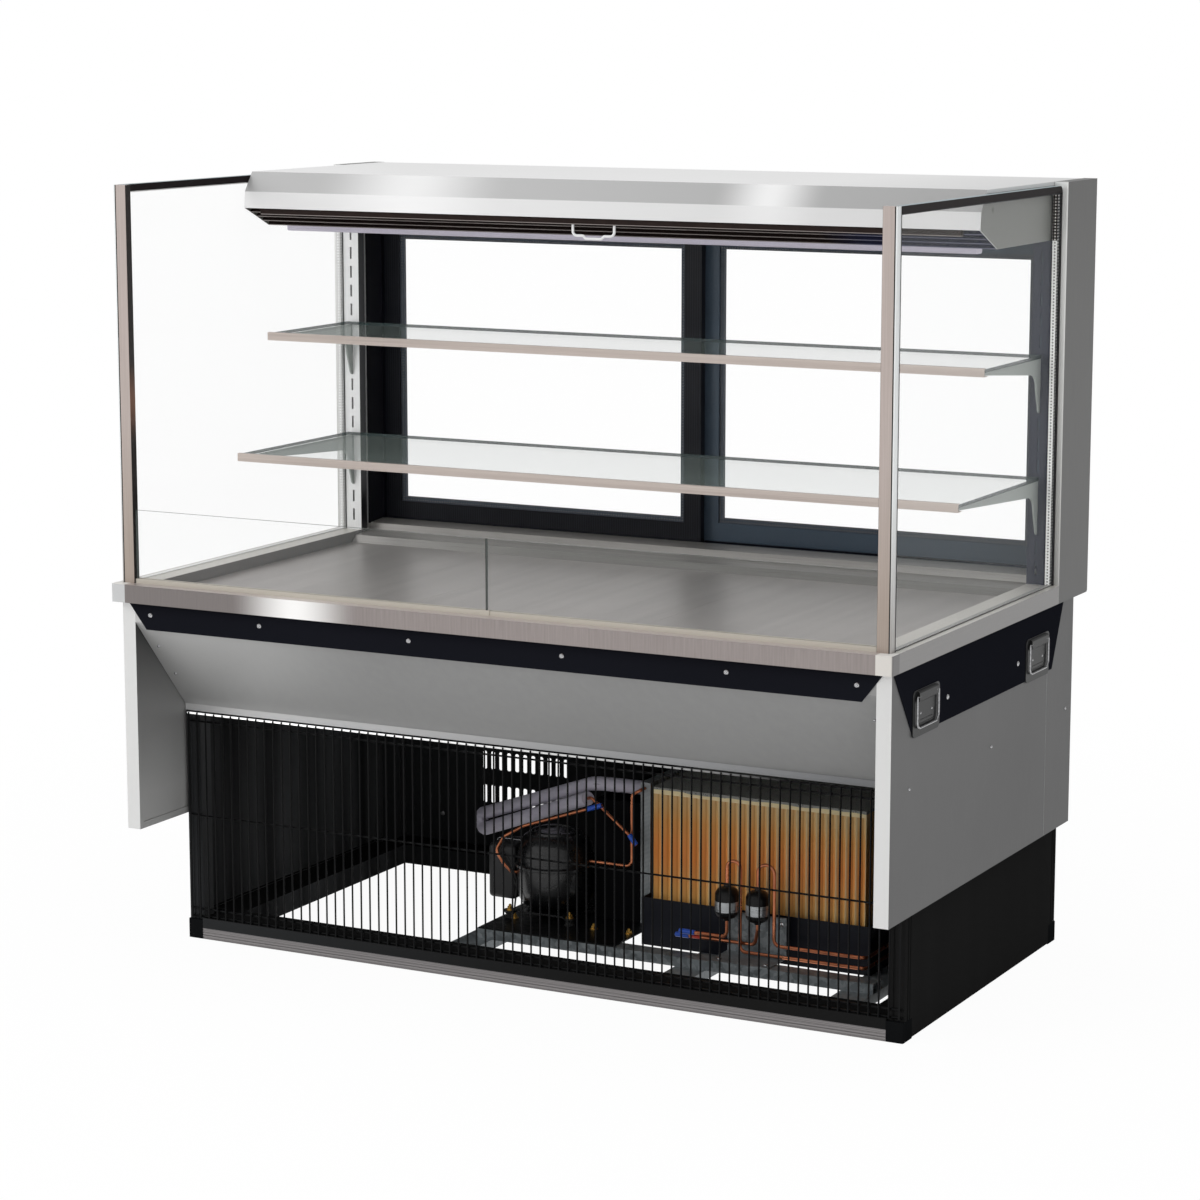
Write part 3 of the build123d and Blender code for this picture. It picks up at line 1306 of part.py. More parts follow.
def compressor():
    """A welded shell with a seam flange, four feet on grommets and the terminal cover."""
    x, y = COMPRESSOR_X, back(COMPRESSOR_SETBACK)
    foot_level = PLATE_TOP + GROMMET_HEIGHT
    low = foot_level + FOOT_SHEET
    high = low + COMPRESSOR_HEIGHT
    seam = low + 0.55 * COMPRESSOR_HEIGHT
    r = COMPRESSOR_RADIUS
    dome = 0.28 * COMPRESSOR_HEIGHT
    flat = 0.45 * r
    half_outline = [
        Line((0, low), (flat, low)),
        ThreePointArc((flat, low), (0.86 * r, low + 0.3 * dome), (r, low + dome)),
        Line((r, low + dome), (r, seam)),
        Line((r, seam), (r + COMPRESSOR_SEAM, seam)),
        Line((r + COMPRESSOR_SEAM, seam), (r + COMPRESSOR_SEAM, seam + COMPRESSOR_SEAM)),
        Line((r + COMPRESSOR_SEAM, seam + COMPRESSOR_SEAM), (r, seam + COMPRESSOR_SEAM)),
        Line((r, seam + COMPRESSOR_SEAM), (r, high - dome)),
        ThreePointArc((r, high - dome), (0.86 * r, high - 0.3 * dome), (flat, high)),
        Line((flat, high), (0, high)),
        Line((0, high), (0, low)),
    ]
    shell = revolve(Plane.XZ * make_face(half_outline), Axis.Z)
    reach = FOOT_REACH / math.sqrt(2)
    feet = Pos(0, 0, foot_level + FOOT_SHEET / 2) * Box(2 * reach, 2 * reach, FOOT_SHEET)
    feet += [
        Pos(sx * reach, sy * reach, foot_level + FOOT_SHEET / 2) * Cylinder(FOOT_RADIUS, FOOT_SHEET)
        for sx in (-1, 1)
        for sy in (-1, 1)
    ]
    grommets = [
        Pos(sx * reach, sy * reach, PLATE_TOP + GROMMET_HEIGHT / 2)
        * Cylinder(0.75 * FOOT_RADIUS, GROMMET_HEIGHT)
        for sx in (-1, 1)
        for sy in (-1, 1)
    ]
    body = shell + feet
    width, depth, height = TERMINAL_BOX
    cover = Box(width, depth, height)
    cover = fillet(cover.edges().filter_by(Axis.Y), TERMINAL_RADIUS)
    cover = Pos(-r - width / 2 + TERMINAL_RADIUS, 0, seam - height / 6) * cover - shell
    place = Pos(x, y, 0)
    return [place * body, place * cover] + [place * g for g in grommets]


def condenser_coil():
    """A finned block with a groove between each pair of fins, and two tube sheets."""
    y = (back(CONDENSER_SETBACKS[0]), back(CONDENSER_SETBACKS[1]))
    z = (PLATE_TOP, PLATE_TOP + CONDENSER_HEIGHT)
    core = (y[0] + UNIT_WALL, y[1] - UNIT_WALL)
    coil = block(CONDENSER_X, core, z)
    pitch = (core[1] - core[0]) / CONDENSER_FINS
    for i in range(CONDENSER_FINS):
        middle = core[0] + (i + 0.5) * pitch
        coil -= block(
            (CONDENSER_X[1] - FIN_GROOVE, CONDENSER_X[1] + 1),
            (middle - pitch / 4, middle + pitch / 4),
            (z[0] - 1, z[1] + 1),
        )
    sheets = [block(CONDENSER_X, (y[0], core[0]), z), block(CONDENSER_X, (core[1], y[1]), z)]
    screw_y = screw_place()[1]
    bearing_x = (CONDENSER_X[1] - SCREW_BLOCK, screw_place()[0] + SCREW_BLOCK / 2)
    for low in (z[0], z[1] - SCREW_BLOCK / 2):
        bearing = block(bearing_x, (y[1], screw_y + SCREW_BLOCK / 2), (low, low + SCREW_BLOCK / 2))
        sheets.append(bearing)
    coil = coil + sheets
    x = screw_place()[0]
    return coil - rod((x, screw_y, z[0] + 2), (x, screw_y, z[1] + 1), SCREW_SHAFT_RADIUS + PIN_GAP)


def fan_axis():
    """Y and Z of the condenser fan: the middle of the shroud."""
    return sum(back(s) for s in CONDENSER_SETBACKS) / 2, PLATE_TOP + SHROUD_HEIGHT / 2


SHROUD_LEFT = CONDENSER_X[0] - SEAT_GAP - SHROUD_LENGTH


def fan_shroud():
    """A sheet hood on the condenser, open towards it, with a round hole for the fan."""
    y = (back(CONDENSER_SETBACKS[0]), back(CONDENSER_SETBACKS[1]))
    z = (PLATE_TOP, PLATE_TOP + SHROUD_HEIGHT)
    x = (SHROUD_LEFT, SHROUD_LEFT + SHROUD_LENGTH)
    shroud = block(x, y, z)
    shroud -= block(
        (x[0] + SHEET, x[1] + 1), (y[0] + SHEET, y[1] - SHEET), (z[0] + SHEET, z[1] - SHEET)
    )
    hole = CONDENSER_FAN_RADIUS + FAN_HOLE_GAP
    return shroud - rod((x[0] - 1, *fan_axis()), (x[0] + 2 * SHEET, *fan_axis()), hole)


def axial_fan(radius):
    """A hub and pitched blades about the X axis, centred on the origin."""
    hub = rod((-FAN_HUB_LENGTH / 2, 0, 0), (FAN_HUB_LENGTH / 2, 0, 0), FAN_HUB_RADIUS)
    span = radius - FAN_HUB_RADIUS + SHEET
    root = FAN_HUB_RADIUS
    blade = Box(SHEET, 0.8 * root, span + SHEET)
    tip = Pos(0, 0, span / 2) * Box(SHEET, 1.4 * root, 2)
    blade = loft([blade.faces().sort_by(Axis.Z)[0], tip.faces().sort_by(Axis.Z)[-1]])
    blade = Pos(0, 0, FAN_HUB_RADIUS - SHEET - blade.bounding_box().min.Z) * Rot(0, 0, FAN_PITCH) * blade
    reach = Vector(0, blade.bounding_box().max.Y, blade.bounding_box().max.Z).length
    blade = blade & rod((-radius, 0, 0), (radius, 0, 0), min(radius, reach))
    fan = hub
    for i in range(FAN_BLADES):
        fan += Rot(i * 360 / FAN_BLADES, 0, 0) * blade
    bore = FAN_SHAFT_RADIUS + PIN_GAP
    return fan - rod((-FAN_HUB_LENGTH, 0, 0), (FAN_HUB_LENGTH, 0, 0), bore)


def condenser_fan():
    y, z = fan_axis()
    return Pos(SHROUD_LEFT + FAN_HUB_LENGTH, y, z) * axial_fan(CONDENSER_FAN_RADIUS)


def motor(reach):
    """A fan motor on the X axis with its shaft through the hub and four arms to its panel."""
    start = -FAN_HUB_LENGTH / 2 - MOTOR_TO_HUB
    can = rod((start - MOTOR_LENGTH, 0, 0), (start, 0, 0), MOTOR_RADIUS)
    can = fillet(can.edges().filter_by(GeomType.CIRCLE).sort_by(Axis.X)[0], MOTOR_ARM)
    shaft = rod((start, 0, 0), (FAN_HUB_LENGTH / 2, 0, 0), FAN_SHAFT_RADIUS)
    middle = start - MOTOR_LENGTH / 2
    arms = [
        Rot(45 + 90 * i, 0, 0)
        * block((middle - MOTOR_ARM / 2, middle + MOTOR_ARM / 2), (-MOTOR_ARM / 2, MOTOR_ARM / 2), (0, reach))
        for i in range(4)
    ]
    return can + shaft + arms


def motor_legs(reach, face):
    """Legs from the ends of the arms to the panel at the given distance along the shaft."""
    start = -FAN_HUB_LENGTH / 2 - MOTOR_TO_HUB - MOTOR_LENGTH / 2
    return [
        Rot(45 + 90 * i, 0, 0)
        * block((start, face), (-MOTOR_ARM / 2, MOTOR_ARM / 2), (reach - SHEET, reach))
        for i in range(4)
    ]


def fan_motors():
    y, z = fan_axis()
    hub = SHROUD_LEFT + FAN_HUB_LENGTH
    reach = CONDENSER_FAN_RADIUS + FAN_HOLE_GAP + MOTOR_ARM
    main = motor(reach) + motor_legs(reach, SHROUD_LEFT - hub)
    motors = [Pos(hub, y, z) * main]
    reach = EVAPORATOR_FAN_RADIUS + FAN_HOLE_GAP + MOTOR_ARM
    small = motor(reach) + motor_legs(reach, -FAN_HUB_LENGTH - SHEET)
    for x in EVAPORATOR_FAN_X.values():
        motors.append(evaporator_fan_place(x) * small)
    return motors


def screw_place():
    """X and Y of the lead screw that drives the condenser brush."""
    return CONDENSER_X[1] + BRUSH_GAP + BRUSH_THICKNESS / 2, back(CONDENSER_SETBACKS[1]) + SCREW_BLOCK / 2


def brush_screw():
    x, y = screw_place()
    low = PLATE_TOP + 2 + SEAT_GAP
    return rod((x, y, low), (x, y, PLATE_TOP + CONDENSER_HEIGHT), SCREW_SHAFT_RADIUS)


def brush_carriage():
    """A brush bar across the condenser face with a nut on the lead screw."""
    x, y = screw_place()
    z = (PLATE_TOP + SCREW_BLOCK / 2 + BRUSH_REST, PLATE_TOP + SCREW_BLOCK / 2 + BRUSH_REST + BRUSH_HEIGHT)
    face = CONDENSER_X[1] + BRUSH_GAP
    front = back(CONDENSER_SETBACKS[0])
    beam = block((face, face + BRUSH_THICKNESS), (front, y), z)
    nut = Pos(x, y, (z[0] + z[1]) / 2) * Cylinder(1.6 * SCREW_SHAFT_RADIUS, BRUSH_HEIGHT)
    hole = rod((x, y, z[0] - 1), (x, y, z[1] + 1), SCREW_SHAFT_RADIUS + PIN_GAP)
    return beam + nut - hole


# ---- Evaporation tray, wick, driers and pipes ----
def condensate_tray():
    y = tuple(back(s) for s in TRAY_SETBACKS)
    tray = block(TRAY_X, y, (UNIT_TOP, UNIT_TOP + TRAY_HEIGHT))
    inner = block(
        (TRAY_X[0] + TRAY_WALL, TRAY_X[1] - TRAY_WALL),
        (y[0] + TRAY_WALL, y[1] - TRAY_WALL),
        (UNIT_TOP + TRAY_WALL, UNIT_TOP + TRAY_HEIGHT + 1),
    )
    return tray - inner


def wick_pack():
    """A pleated wick standing in the tray, clamped by a sheet cap."""
    front, rear = (back(s) for s in WICK_SETBACKS)
    pitch = (WICK_X[1] - WICK_X[0]) / WICK_PLEATS
    near, far = [], []
    for i in range(2 * WICK_PLEATS + 1):
        x = WICK_X[0] + i * pitch / 2
        fold = WICK_PLEAT_DEPTH * (i % 2)
        near.append((x, front + fold))
        far.append((x, rear - fold))
    low = UNIT_TOP + TRAY_WALL + SEAT_GAP
    pleats = prism(near + far[::-1], "z", low, WICK_TOP - WICK_CAP)
    cap = block(WICK_X, (front, rear), (WICK_TOP - WICK_CAP, WICK_TOP))
    return [pleats, cap]


def drier_place():
    """Y of the driers, against the front of their bracket."""
    return back(DRIER_BRACKET_SETBACK) - SEAT_GAP - DRIER_RADIUS


def filter_driers():
    """Two drier cans with necked ends, in front of their bracket."""
    y = drier_place()
    top = DRIER_BOTTOM + DRIER_LENGTH
    cans = []
    for x in DRIER_X:
        can = rod((x, y, DRIER_BOTTOM), (x, y, top), DRIER_RADIUS)
        cans.append(chamfer(can.edges().filter_by(GeomType.CIRCLE), DRIER_RADIUS / 4))
    return cans


def drier_loop():
    """One long line from the top of one drier, round the end of the tray, to the top of the other."""
    y = drier_place()
    left, right = DRIER_X
    down, up = LOOP_DOWN_X
    low, high = LOOP_RUNS
    top = DRIER_BOTTOM + DRIER_LENGTH
    points = [
        (left, y, top),
        (left, y, LOOP_TOP),
        (down, y, LOOP_TOP),
        (down, y, low),
        (LOOP_END_X, y, low),
        (LOOP_END_X, y + LOOP_REACH, low),
        (LOOP_END_X, y + LOOP_REACH, high),
        (LOOP_END_X, y, high),
        (up, y, high),
        (up, y, LOOP_TOP),
        (right, y, LOOP_TOP),
        (right, y, top),
    ]
    over_left = (down - left) / 2 - TURN_SLACK
    over_right = (up - right) / 2 - TURN_SLACK
    end = (high - low) / 2 - TURN_SLACK
    bends = [over_left, over_left, PIPE_BEND, PIPE_BEND, end, end]
    bends += [PIPE_BEND, PIPE_BEND, over_right, over_right]
    return bent_rod(points, PIPE_RADIUS, bends)


def drier_stubs():
    """The service stubs under the driers, which run to the left and end pinched shut."""
    y = drier_place()
    left, right = DRIER_X
    (front_x, front_z), (rear_x, rear_z) = STUB_ENDS
    behind = y + 3 * PIPE_RADIUS
    front = [(left, y, DRIER_BOTTOM), (left, y, front_z), (front_x, y, front_z)]
    rear = [
        (right, y, DRIER_BOTTOM),
        (right, y, DRIER_BOTTOM - PIPE_BEND),
        (right - 3 * PIPE_RADIUS, behind, rear_z),
        (rear_x, behind, rear_z),
    ]
    return [bent_rod(front, PIPE_RADIUS, PIPE_BEND), bent_rod(rear, PIPE_RADIUS, PIPE_BEND)]


def routed(route):
    """A route's points in the frame of the case."""
    return [(x, back(setback), z) for x, setback, z in route]


def shell_lines():
    """Three lines at the compressor: the process stub, the suction joint and the discharge line."""
    return [
        bent_rod(routed(PROCESS_ROUTE), PIPE_RADIUS, PIPE_BEND),
        bent_rod(routed(SUCTION_ROUTE), PIPE_RADIUS, PIPE_BEND),
        bent_rod(routed(DISCHARGE_ROUTE), PIPE_RADIUS, [PIPE_BEND, PIPE_BEND, PIPE_BEND / 2]),
    ]


def copper_pipes():
    return [drier_loop()] + drier_stubs() + shell_lines()


def insulated_line():
    """The lagged line from the coil, doubled back on itself behind the compressor."""
    bend = HOSE_RADIUS + 2
    return bent_rod(routed(HOSE_ROUTE), HOSE_RADIUS, [3 * HOSE_RADIUS, bend, bend], sides=16)


# ---- Evaporator in the tank ----
def evaporator_coil():
    """A finned block between end plates that stand on the tank floor and carry the deck."""
    y = tuple(back(s) for s in COIL_SETBACKS)
    z = (COIL_FLOOR + COIL_STAND, RIM_UNDERSIDE - COIL_CLEAR_TOP)
    coil = block((-COIL_HALF, COIL_HALF), y, z)
    pitch = 2 * COIL_HALF / COIL_FINS
    for i in range(COIL_FINS):
        x = -COIL_HALF + (i + 0.5) * pitch
        coil -= block((x - pitch / 4, x + pitch / 4), (y[0] - 1, y[0] + FIN_GROOVE), (z[0] - 1, z[1] + 1))
    plate_z = (COIL_FLOOR, RIM_UNDERSIDE)
    for x in (-COIL_HALF, 0, COIL_HALF):
        coil += block((x - COIL_PLATE, x + COIL_PLATE), y, plate_z)
    return coil


def fan_panel():
    """The upright panel in front of the coil with a round hole for each fan."""
    y = back(EVAPORATOR_PANEL_SETBACK)
    panel = block((-COIL_HALF, COIL_HALF), (y, y + SHEET), (COIL_FLOOR, RIM_UNDERSIDE))
    for x in EVAPORATOR_FAN_X.values():
        hole = EVAPORATOR_FAN_RADIUS + FAN_HOLE_GAP
        centre = (x, y - 1, EVAPORATOR_FAN_HEIGHT)
        panel -= rod(centre, (x, y + 2 * SHEET, EVAPORATOR_FAN_HEIGHT), hole)
    return panel


def evaporator_fan_place(x):
    """The fan axis is turned to run towards the rear, with the hub behind the panel."""
    hub = back(EVAPORATOR_PANEL_SETBACK) + SHEET + FAN_HUB_LENGTH
    return Pos(x, hub, EVAPORATOR_FAN_HEIGHT) * Rot(0, 0, 90)


def evaporator_fan(side):
    return evaporator_fan_place(EVAPORATOR_FAN_X[side]) * axial_fan(EVAPORATOR_FAN_RADIUS)


# ---- Rear controls ----
CONTROL_FACE = back(TANK_REAR_SETBACK)
CONTROL_REAR = CONTROL_FACE + CONTROL_DEPTH


def control_box():
    """A flat box on the rear of the tank with a display recess, a switch well and the gland."""
    box = block(CONTROL_X, (CONTROL_FACE, CONTROL_REAR), CONTROL_HEIGHTS)
    box = fillet(box.edges().filter_by(Axis.Y), CONTROL_RADIUS)
    box -= block(DISPLAY_X, (CONTROL_REAR - SHEET, CONTROL_REAR + 1), DISPLAY_HEIGHTS)
    width = SWITCH_SIZE[0] / 2 + SEAT_GAP
    height = SWITCH_SIZE[1] / 2 + SEAT_GAP
    swing = SWITCH_SIZE[1] / 2 * math.sin(math.radians(SWITCH_TRAVEL / 2))
    well = switch_pin() - SWITCH_THICKNESS / 2 - swing - SEAT_GAP
    box -= block(
        (SWITCH_X - width, SWITCH_X + width),
        (well, CONTROL_REAR + 1),
        (SWITCH_HEIGHT - height, SWITCH_HEIGHT + height),
    )
    pin_y = switch_pin()
    pin_half = width + 2 * SHEET
    box -= rod(
        (SWITCH_X - pin_half, pin_y, SWITCH_HEIGHT),
        (SWITCH_X + pin_half, pin_y, SWITCH_HEIGHT),
        SWITCH_PIN_RADIUS + PIN_GAP,
    )
    rear = back(BASE_REAR_SETBACK)
    gland = rod((GLAND_X, rear, GLAND_HEIGHT), (GLAND_X, rear + GLAND_LENGTH, GLAND_HEIGHT), GLAND_RADIUS)
    gland = chamfer(gland.edges().filter_by(GeomType.CIRCLE).sort_by(Axis.Y)[-1], 2 * SHEET)
    gland -= rod((GLAND_X, rear - 1, GLAND_HEIGHT), (GLAND_X, BACK, GLAND_HEIGHT), GLAND_BORE)
    return [box, gland]


def switch_pin():
    """Y of the rocker's pivot, set so that only the raised end stands out of the box."""
    swing = SWITCH_SIZE[1] / 2 * math.sin(math.radians(SWITCH_TRAVEL / 2))
    return CONTROL_REAR + SWITCH_PROUD - swing - SWITCH_THICKNESS / 2


def light_switch():
    """A rocker on a cross pin, shown in its off position; its face is slightly dished."""
    width, height = SWITCH_SIZE
    half = SWITCH_THICKNESS / 2
    dish = SWITCH_PROUD / 2
    outline = [
        (dish - half, half - height / 2),
        (0, -height / 2),
        (half, -height / 2),
        (half - dish, 0),
        (half, height / 2),
        (0, height / 2),
        (dish - half, height / 2 - half),
    ]
    rocker = prism(outline, "x", -width / 2, width / 2)
    pin_half = width / 2 + SEAT_GAP + SHEET
    rocker += rod((-pin_half, 0, 0), (pin_half, 0, 0), SWITCH_PIN_RADIUS)
    return Pos(SWITCH_X, switch_pin(), SWITCH_HEIGHT) * Rot(-SWITCH_TRAVEL / 2, 0, 0) * rocker


NODES = {
    "base_front_rail": base_front_rail(),
    "base_frame": base_frame(),
    "base_corner_caps": base_corner_caps(),
    "base_sides": base_sides(),
    "base_rear_panel": base_rear_panel(),
    "front_grille": front_grille(),
    "front_skirt": front_skirt(),
    "side_panels": side_panels(),
    "black_bands": black_bands(),
    "handle_plates": handle_plates(),
    "bail_front_left": bail("left", "front"),
    "bail_rear_left": bail("left", "rear"),
    "bail_front_right": bail("right", "front"),
    "bail_rear_right": bail("right", "rear"),
    "countertop_front": countertop_front(),
    "countertop_sides": both_sides(countertop_side()),
    "countertop_corner_caps": both_sides(countertop_corner_cap()),
    "rear_columns": rear_columns(),
    "tank": tank(),
    "deck_pans": deck_pans(),
    "rear_riser": rear_riser(),
    "glass_channel": glass_channel(),
    "front_glass": front_glass(),
    "end_glass": end_glass(),
    "end_posts": end_posts(),
    "end_trims": end_trims(),
    "hood_shell": hood_shell(),
    "discharge_grille": discharge_grille(),
    "hood_lamp": hood_lamp(),
    "curtain_roller": curtain_roller(),
    "curtain_web": curtain_web(),
    "curtain_bar": curtain_bar(),
    "door_frame": door_frame(),
    "rear_door_left": rear_door("left"),
    "rear_door_right": rear_door("right"),
    "rear_door_glass_left": rear_door_glass("left"),
    "rear_door_glass_right": rear_door_glass("right"),
    "shelf_standards": shelf_standards(),
    "shelf_brackets": shelf_brackets(),
    "shelf_glass": shelf_glass(),
    "shelf_trims": shelf_trims(),
    "screws": screws(),
    "unit_base": unit_base(),
    "compressor": compressor(),
    "condenser_coil": condenser_coil(),
    "fan_shroud": fan_shroud(),
    "condenser_fan": condenser_fan(),
    "fan_motors": fan_motors(),
    "brush_carriage": brush_carriage(),
    "brush_screw": brush_screw(),
    "condensate_tray": condensate_tray(),
    "wick_pack": wick_pack(),
    "filter_driers": filter_driers(),
    "copper_pipes": copper_pipes(),
    "insulated_line": insulated_line(),
    "evaporator_coil": [evaporator_coil(), fan_panel()],
    "evaporator_fan_left": evaporator_fan("left"),
    "evaporator_fan_right": evaporator_fan("right"),
    "control_box": control_box(),
    "light_switch": light_switch(),
}

os.makedirs("parts", exist_ok=True)
for name, piece in NODES.items():
    shape = Compound(children=piece) if isinstance(piece, list) else piece
    export_step(shape, f"parts/{name}.step")
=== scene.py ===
import math

import bmesh
import bpy
from mathutils import Matrix, Vector


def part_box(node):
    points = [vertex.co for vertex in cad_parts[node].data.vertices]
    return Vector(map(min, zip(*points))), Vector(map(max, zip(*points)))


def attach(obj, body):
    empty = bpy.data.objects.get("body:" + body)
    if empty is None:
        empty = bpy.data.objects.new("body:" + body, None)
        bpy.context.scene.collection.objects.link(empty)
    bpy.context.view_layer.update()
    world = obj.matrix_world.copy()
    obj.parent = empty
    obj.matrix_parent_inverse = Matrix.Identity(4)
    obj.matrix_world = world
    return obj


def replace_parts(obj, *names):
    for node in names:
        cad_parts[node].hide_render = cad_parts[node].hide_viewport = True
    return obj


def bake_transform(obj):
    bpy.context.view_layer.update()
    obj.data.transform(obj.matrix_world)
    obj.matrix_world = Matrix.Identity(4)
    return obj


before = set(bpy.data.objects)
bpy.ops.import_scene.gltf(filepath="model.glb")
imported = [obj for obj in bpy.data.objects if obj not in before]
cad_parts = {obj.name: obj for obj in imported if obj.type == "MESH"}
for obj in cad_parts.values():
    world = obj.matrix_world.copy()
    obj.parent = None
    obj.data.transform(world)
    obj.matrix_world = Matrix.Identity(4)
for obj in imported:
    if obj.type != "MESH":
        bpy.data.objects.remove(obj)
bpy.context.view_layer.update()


# ---- The view ----
# A long lens stands well back from the front right corner, a little above the hood.
VIEW_FROM = Vector((2.79305, -5.33833, 1.69570))
VIEW_TURN = math.radians(27.682)  # to the left of the case's own front-to-back line
VIEW_FALL = math.radians(9.827)
LENS = 100.92  # millimetres, on a 36 mm wide frame


def put(name, data):
    """A new object in the scene."""
    thing = bpy.data.objects.new(name, data)
    bpy.context.scene.collection.objects.link(thing)
    return thing


lens = bpy.data.cameras.new("view")
lens.lens = LENS
lens.sensor_width = 36
camera = put("view", lens)
camera.location = VIEW_FROM
camera.rotation_euler = (math.pi / 2 - VIEW_FALL, 0, VIEW_TURN)
bpy.context.scene.camera = camera
bpy.context.scene.view_settings.view_transform = "Standard"


# ---- The studio: floor, backdrop and soft lamps ----
# A pale floor runs out of sight and the backdrop is white. One wide lamp stands ahead on the left,
# a weaker one on the right, and one hangs over the case.
def shade(code):
    """A paint-card colour, such as 7a7a76, in the linear values that a shader takes."""
    parts = [int(code[i:i + 2], 16) / 255 for i in (0, 2, 4)]
    return tuple(p / 12.92 if p < 0.04045 else ((p + 0.055) / 1.055) ** 2.4 for p in parts) + (1.0,)


class Flow:
    """One socket of a material. Arithmetic on flows adds the nodes that work it out."""

    def __init__(self, tree, socket=None):
        self.tree = tree
        self.socket = socket

    def node(self, kind, settings, values, output=0):
        made = self.tree.nodes.new("ShaderNode" + kind)
        for name, value in settings.items():
            setattr(made, name, value)
        for name, value in values.items():
            if isinstance(value, Flow):
                self.tree.links.new(value.socket, made.inputs[name])
            else:
                made.inputs[name].default_value = value
        return Flow(self.tree, made.outputs[output])

    def maths(self, operation, other=0.0, third=0.0):
        return self.node("Math", {"operation": operation}, {0: self, 1: other, 2: third})

    def __add__(self, other):
        return self.maths("ADD", other)

    def __sub__(self, other):
        return self.maths("SUBTRACT", other)

    def __mul__(self, other):
        return self.maths("MULTIPLY", other)

    def __truediv__(self, other):
        return self.maths("DIVIDE", other)

    def __gt__(self, other):
        return self.maths("GREATER_THAN", other)

    def __lt__(self, other):
        return self.maths("LESS_THAN", other)

    def __rsub__(self, other):
        return self.node("Math", {"operation": "SUBTRACT"}, {0: other, 1: self})

    __radd__ = __add__
    __rmul__ = __mul__

    def between(self, low, high):
        """From 0 at low to 1 at high, and level beyond them."""
        settings = {"clamp": True}
        return self.node("MapRange", settings, {"Value": self, "From Min": low, "From Max": high})

    def near(self, centre, width):
        """1 at the centre, falling softly to 0 at half the width to either side."""
        gap = (self - centre).maths("ABSOLUTE") / (width / 2)
        settings = {"interpolation_type": "SMOOTHSTEP"}
        return self.node("MapRange", settings, {"Value": gap, "To Min": 1.0, "To Max": 0.0})

    def wave(self, pitch):
        """Swings from -1 to 1 and back once in each pitch."""
        return (self * (2 * math.pi / pitch)).maths("SINE")

    def mix(self, first, second):
        """The first colour where this flow is 0 and the second where it is 1."""
        first, second = [shade(c) if isinstance(c, str) else c for c in (first, second)]
        return self.node("Mix", {"data_type": "RGBA"}, {0: self, 6: first, 7: second}, 2)

    def stretched(self, by):
        return self.node("VectorMath", {"operation": "MULTIPLY"}, {0: self, 1: by})

    def axis(self, name):
        return self.node("SeparateXYZ", {}, {0: self}, "XYZ".index(name))

    x = property(lambda flow: flow.axis("X"))
    y = property(lambda flow: flow.axis("Y"))
    z = property(lambda flow: flow.axis("Z"))

    def noise(self, scale, detail=2.0):
        return self.node("TexNoise", {}, {"Vector": self, "Scale": scale, "Detail": detail})

    def cells(self, scale, output="Distance"):
        return self.node("TexVoronoi", {}, {"Vector": self, "Scale": scale}, output)

    def facing(self, name):
        """How far the surface faces along an axis, from -1 to 1."""
        return self.node("NewGeometry", {}, {}, "Normal").axis(name)


RAYS = ("Is Camera Ray", "Is Glossy Ray", "Is Transmission Ray")
FLOOR_SIZE = 60.0
FLOOR_DROP = 0.0005  # below the feet, so that the two faces don't meet
FLOOR_WHITE = shade("fbfbfb")
LIT_SHARE = 0.96  # how much of the white that the floor shows under the case is its own
FLOOR_FADE = (0.9, 2.6)  # the distances between which that share rises to the whole
AIR_LEVEL = 0.62  # the light that comes from all round
GLOSS_LEVELS = (0.35, 0.95)  # what polished metal sees, away from the lamps and towards them

floor_mesh = bpy.data.meshes.new("floor")
half = FLOOR_SIZE / 2
corners = [(-half, -half, 0), (half, -half, 0), (half, half, 0), (-half, half, 0)]
floor_mesh.from_pydata(corners, [], [(0, 1, 2, 3)])
floor = put("floor", floor_mesh)
floor.location.z = -FLOOR_DROP

floor_paint = bpy.data.materials.new("floor_paint")
floor_paint.use_nodes = True
tree = floor_paint.node_tree
flow = Flow(tree)
seen, mirrored, passed = [flow.node("LightPath", {}, {}, ray) for ray in RAYS]
direct = seen.maths("MAXIMUM", mirrored).maths("MAXIMUM", passed)
dull = flow.node("BsdfDiffuse", {}, {"Color": FLOOR_WHITE})
white = flow.node("Emission", {}, {"Color": (1, 1, 1, 1), "Strength": 1.0})
spot = flow.node("NewGeometry", {}, {}, "Position")
away = spot.node("VectorMath", {"operation": "LENGTH"}, {0: spot}, "Value").between(*FLOOR_FADE)
share = away * (1 - LIT_SHARE) + LIT_SHARE
surface = flow.node("MixShader", {}, {0: direct * share, 1: dull, 2: white})
tree.links.new(surface.socket, tree.nodes["Material Output"].inputs["Surface"])
floor_mesh.materials.append(floor_paint)

world = bpy.data.worlds.new("studio")
bpy.context.scene.world = world
world.use_nodes = True
tree = world.node_tree
flow = Flow(tree)
seen, mirrored, passed = [flow.node("LightPath", {}, {}, ray) for ray in RAYS]
heading = flow.node("TexCoord", {}, {}, "Generated")
toward_lamp = heading.z * 0.5 - heading.x * 0.55 - heading.y * 0.45
dim, bright = GLOSS_LEVELS
polished = toward_lamp.between(-0.7, 0.7) * (bright - dim) + dim
level = mirrored * polished + (1 - mirrored) * AIR_LEVEL
clear = seen.maths("MAXIMUM", passed)
level = level * (1 - clear) + clear
background = tree.nodes["Background"].inputs
background["Color"].default_value = (1, 1, 1, 1)
tree.links.new(level.socket, background["Strength"])

LAMP_AIM = Vector((0, 0, 0.7))


def lamp(name, place, size, watts):
    light = bpy.data.lights.new(name, "AREA")
    light.size = size
    light.energy = watts
    stand = put(name, light)
    stand.location = place
    stand.rotation_euler = (LAMP_AIM - Vector(place)).to_track_quat("-Z", "Y").to_euler()
    stand.visible_glossy = False


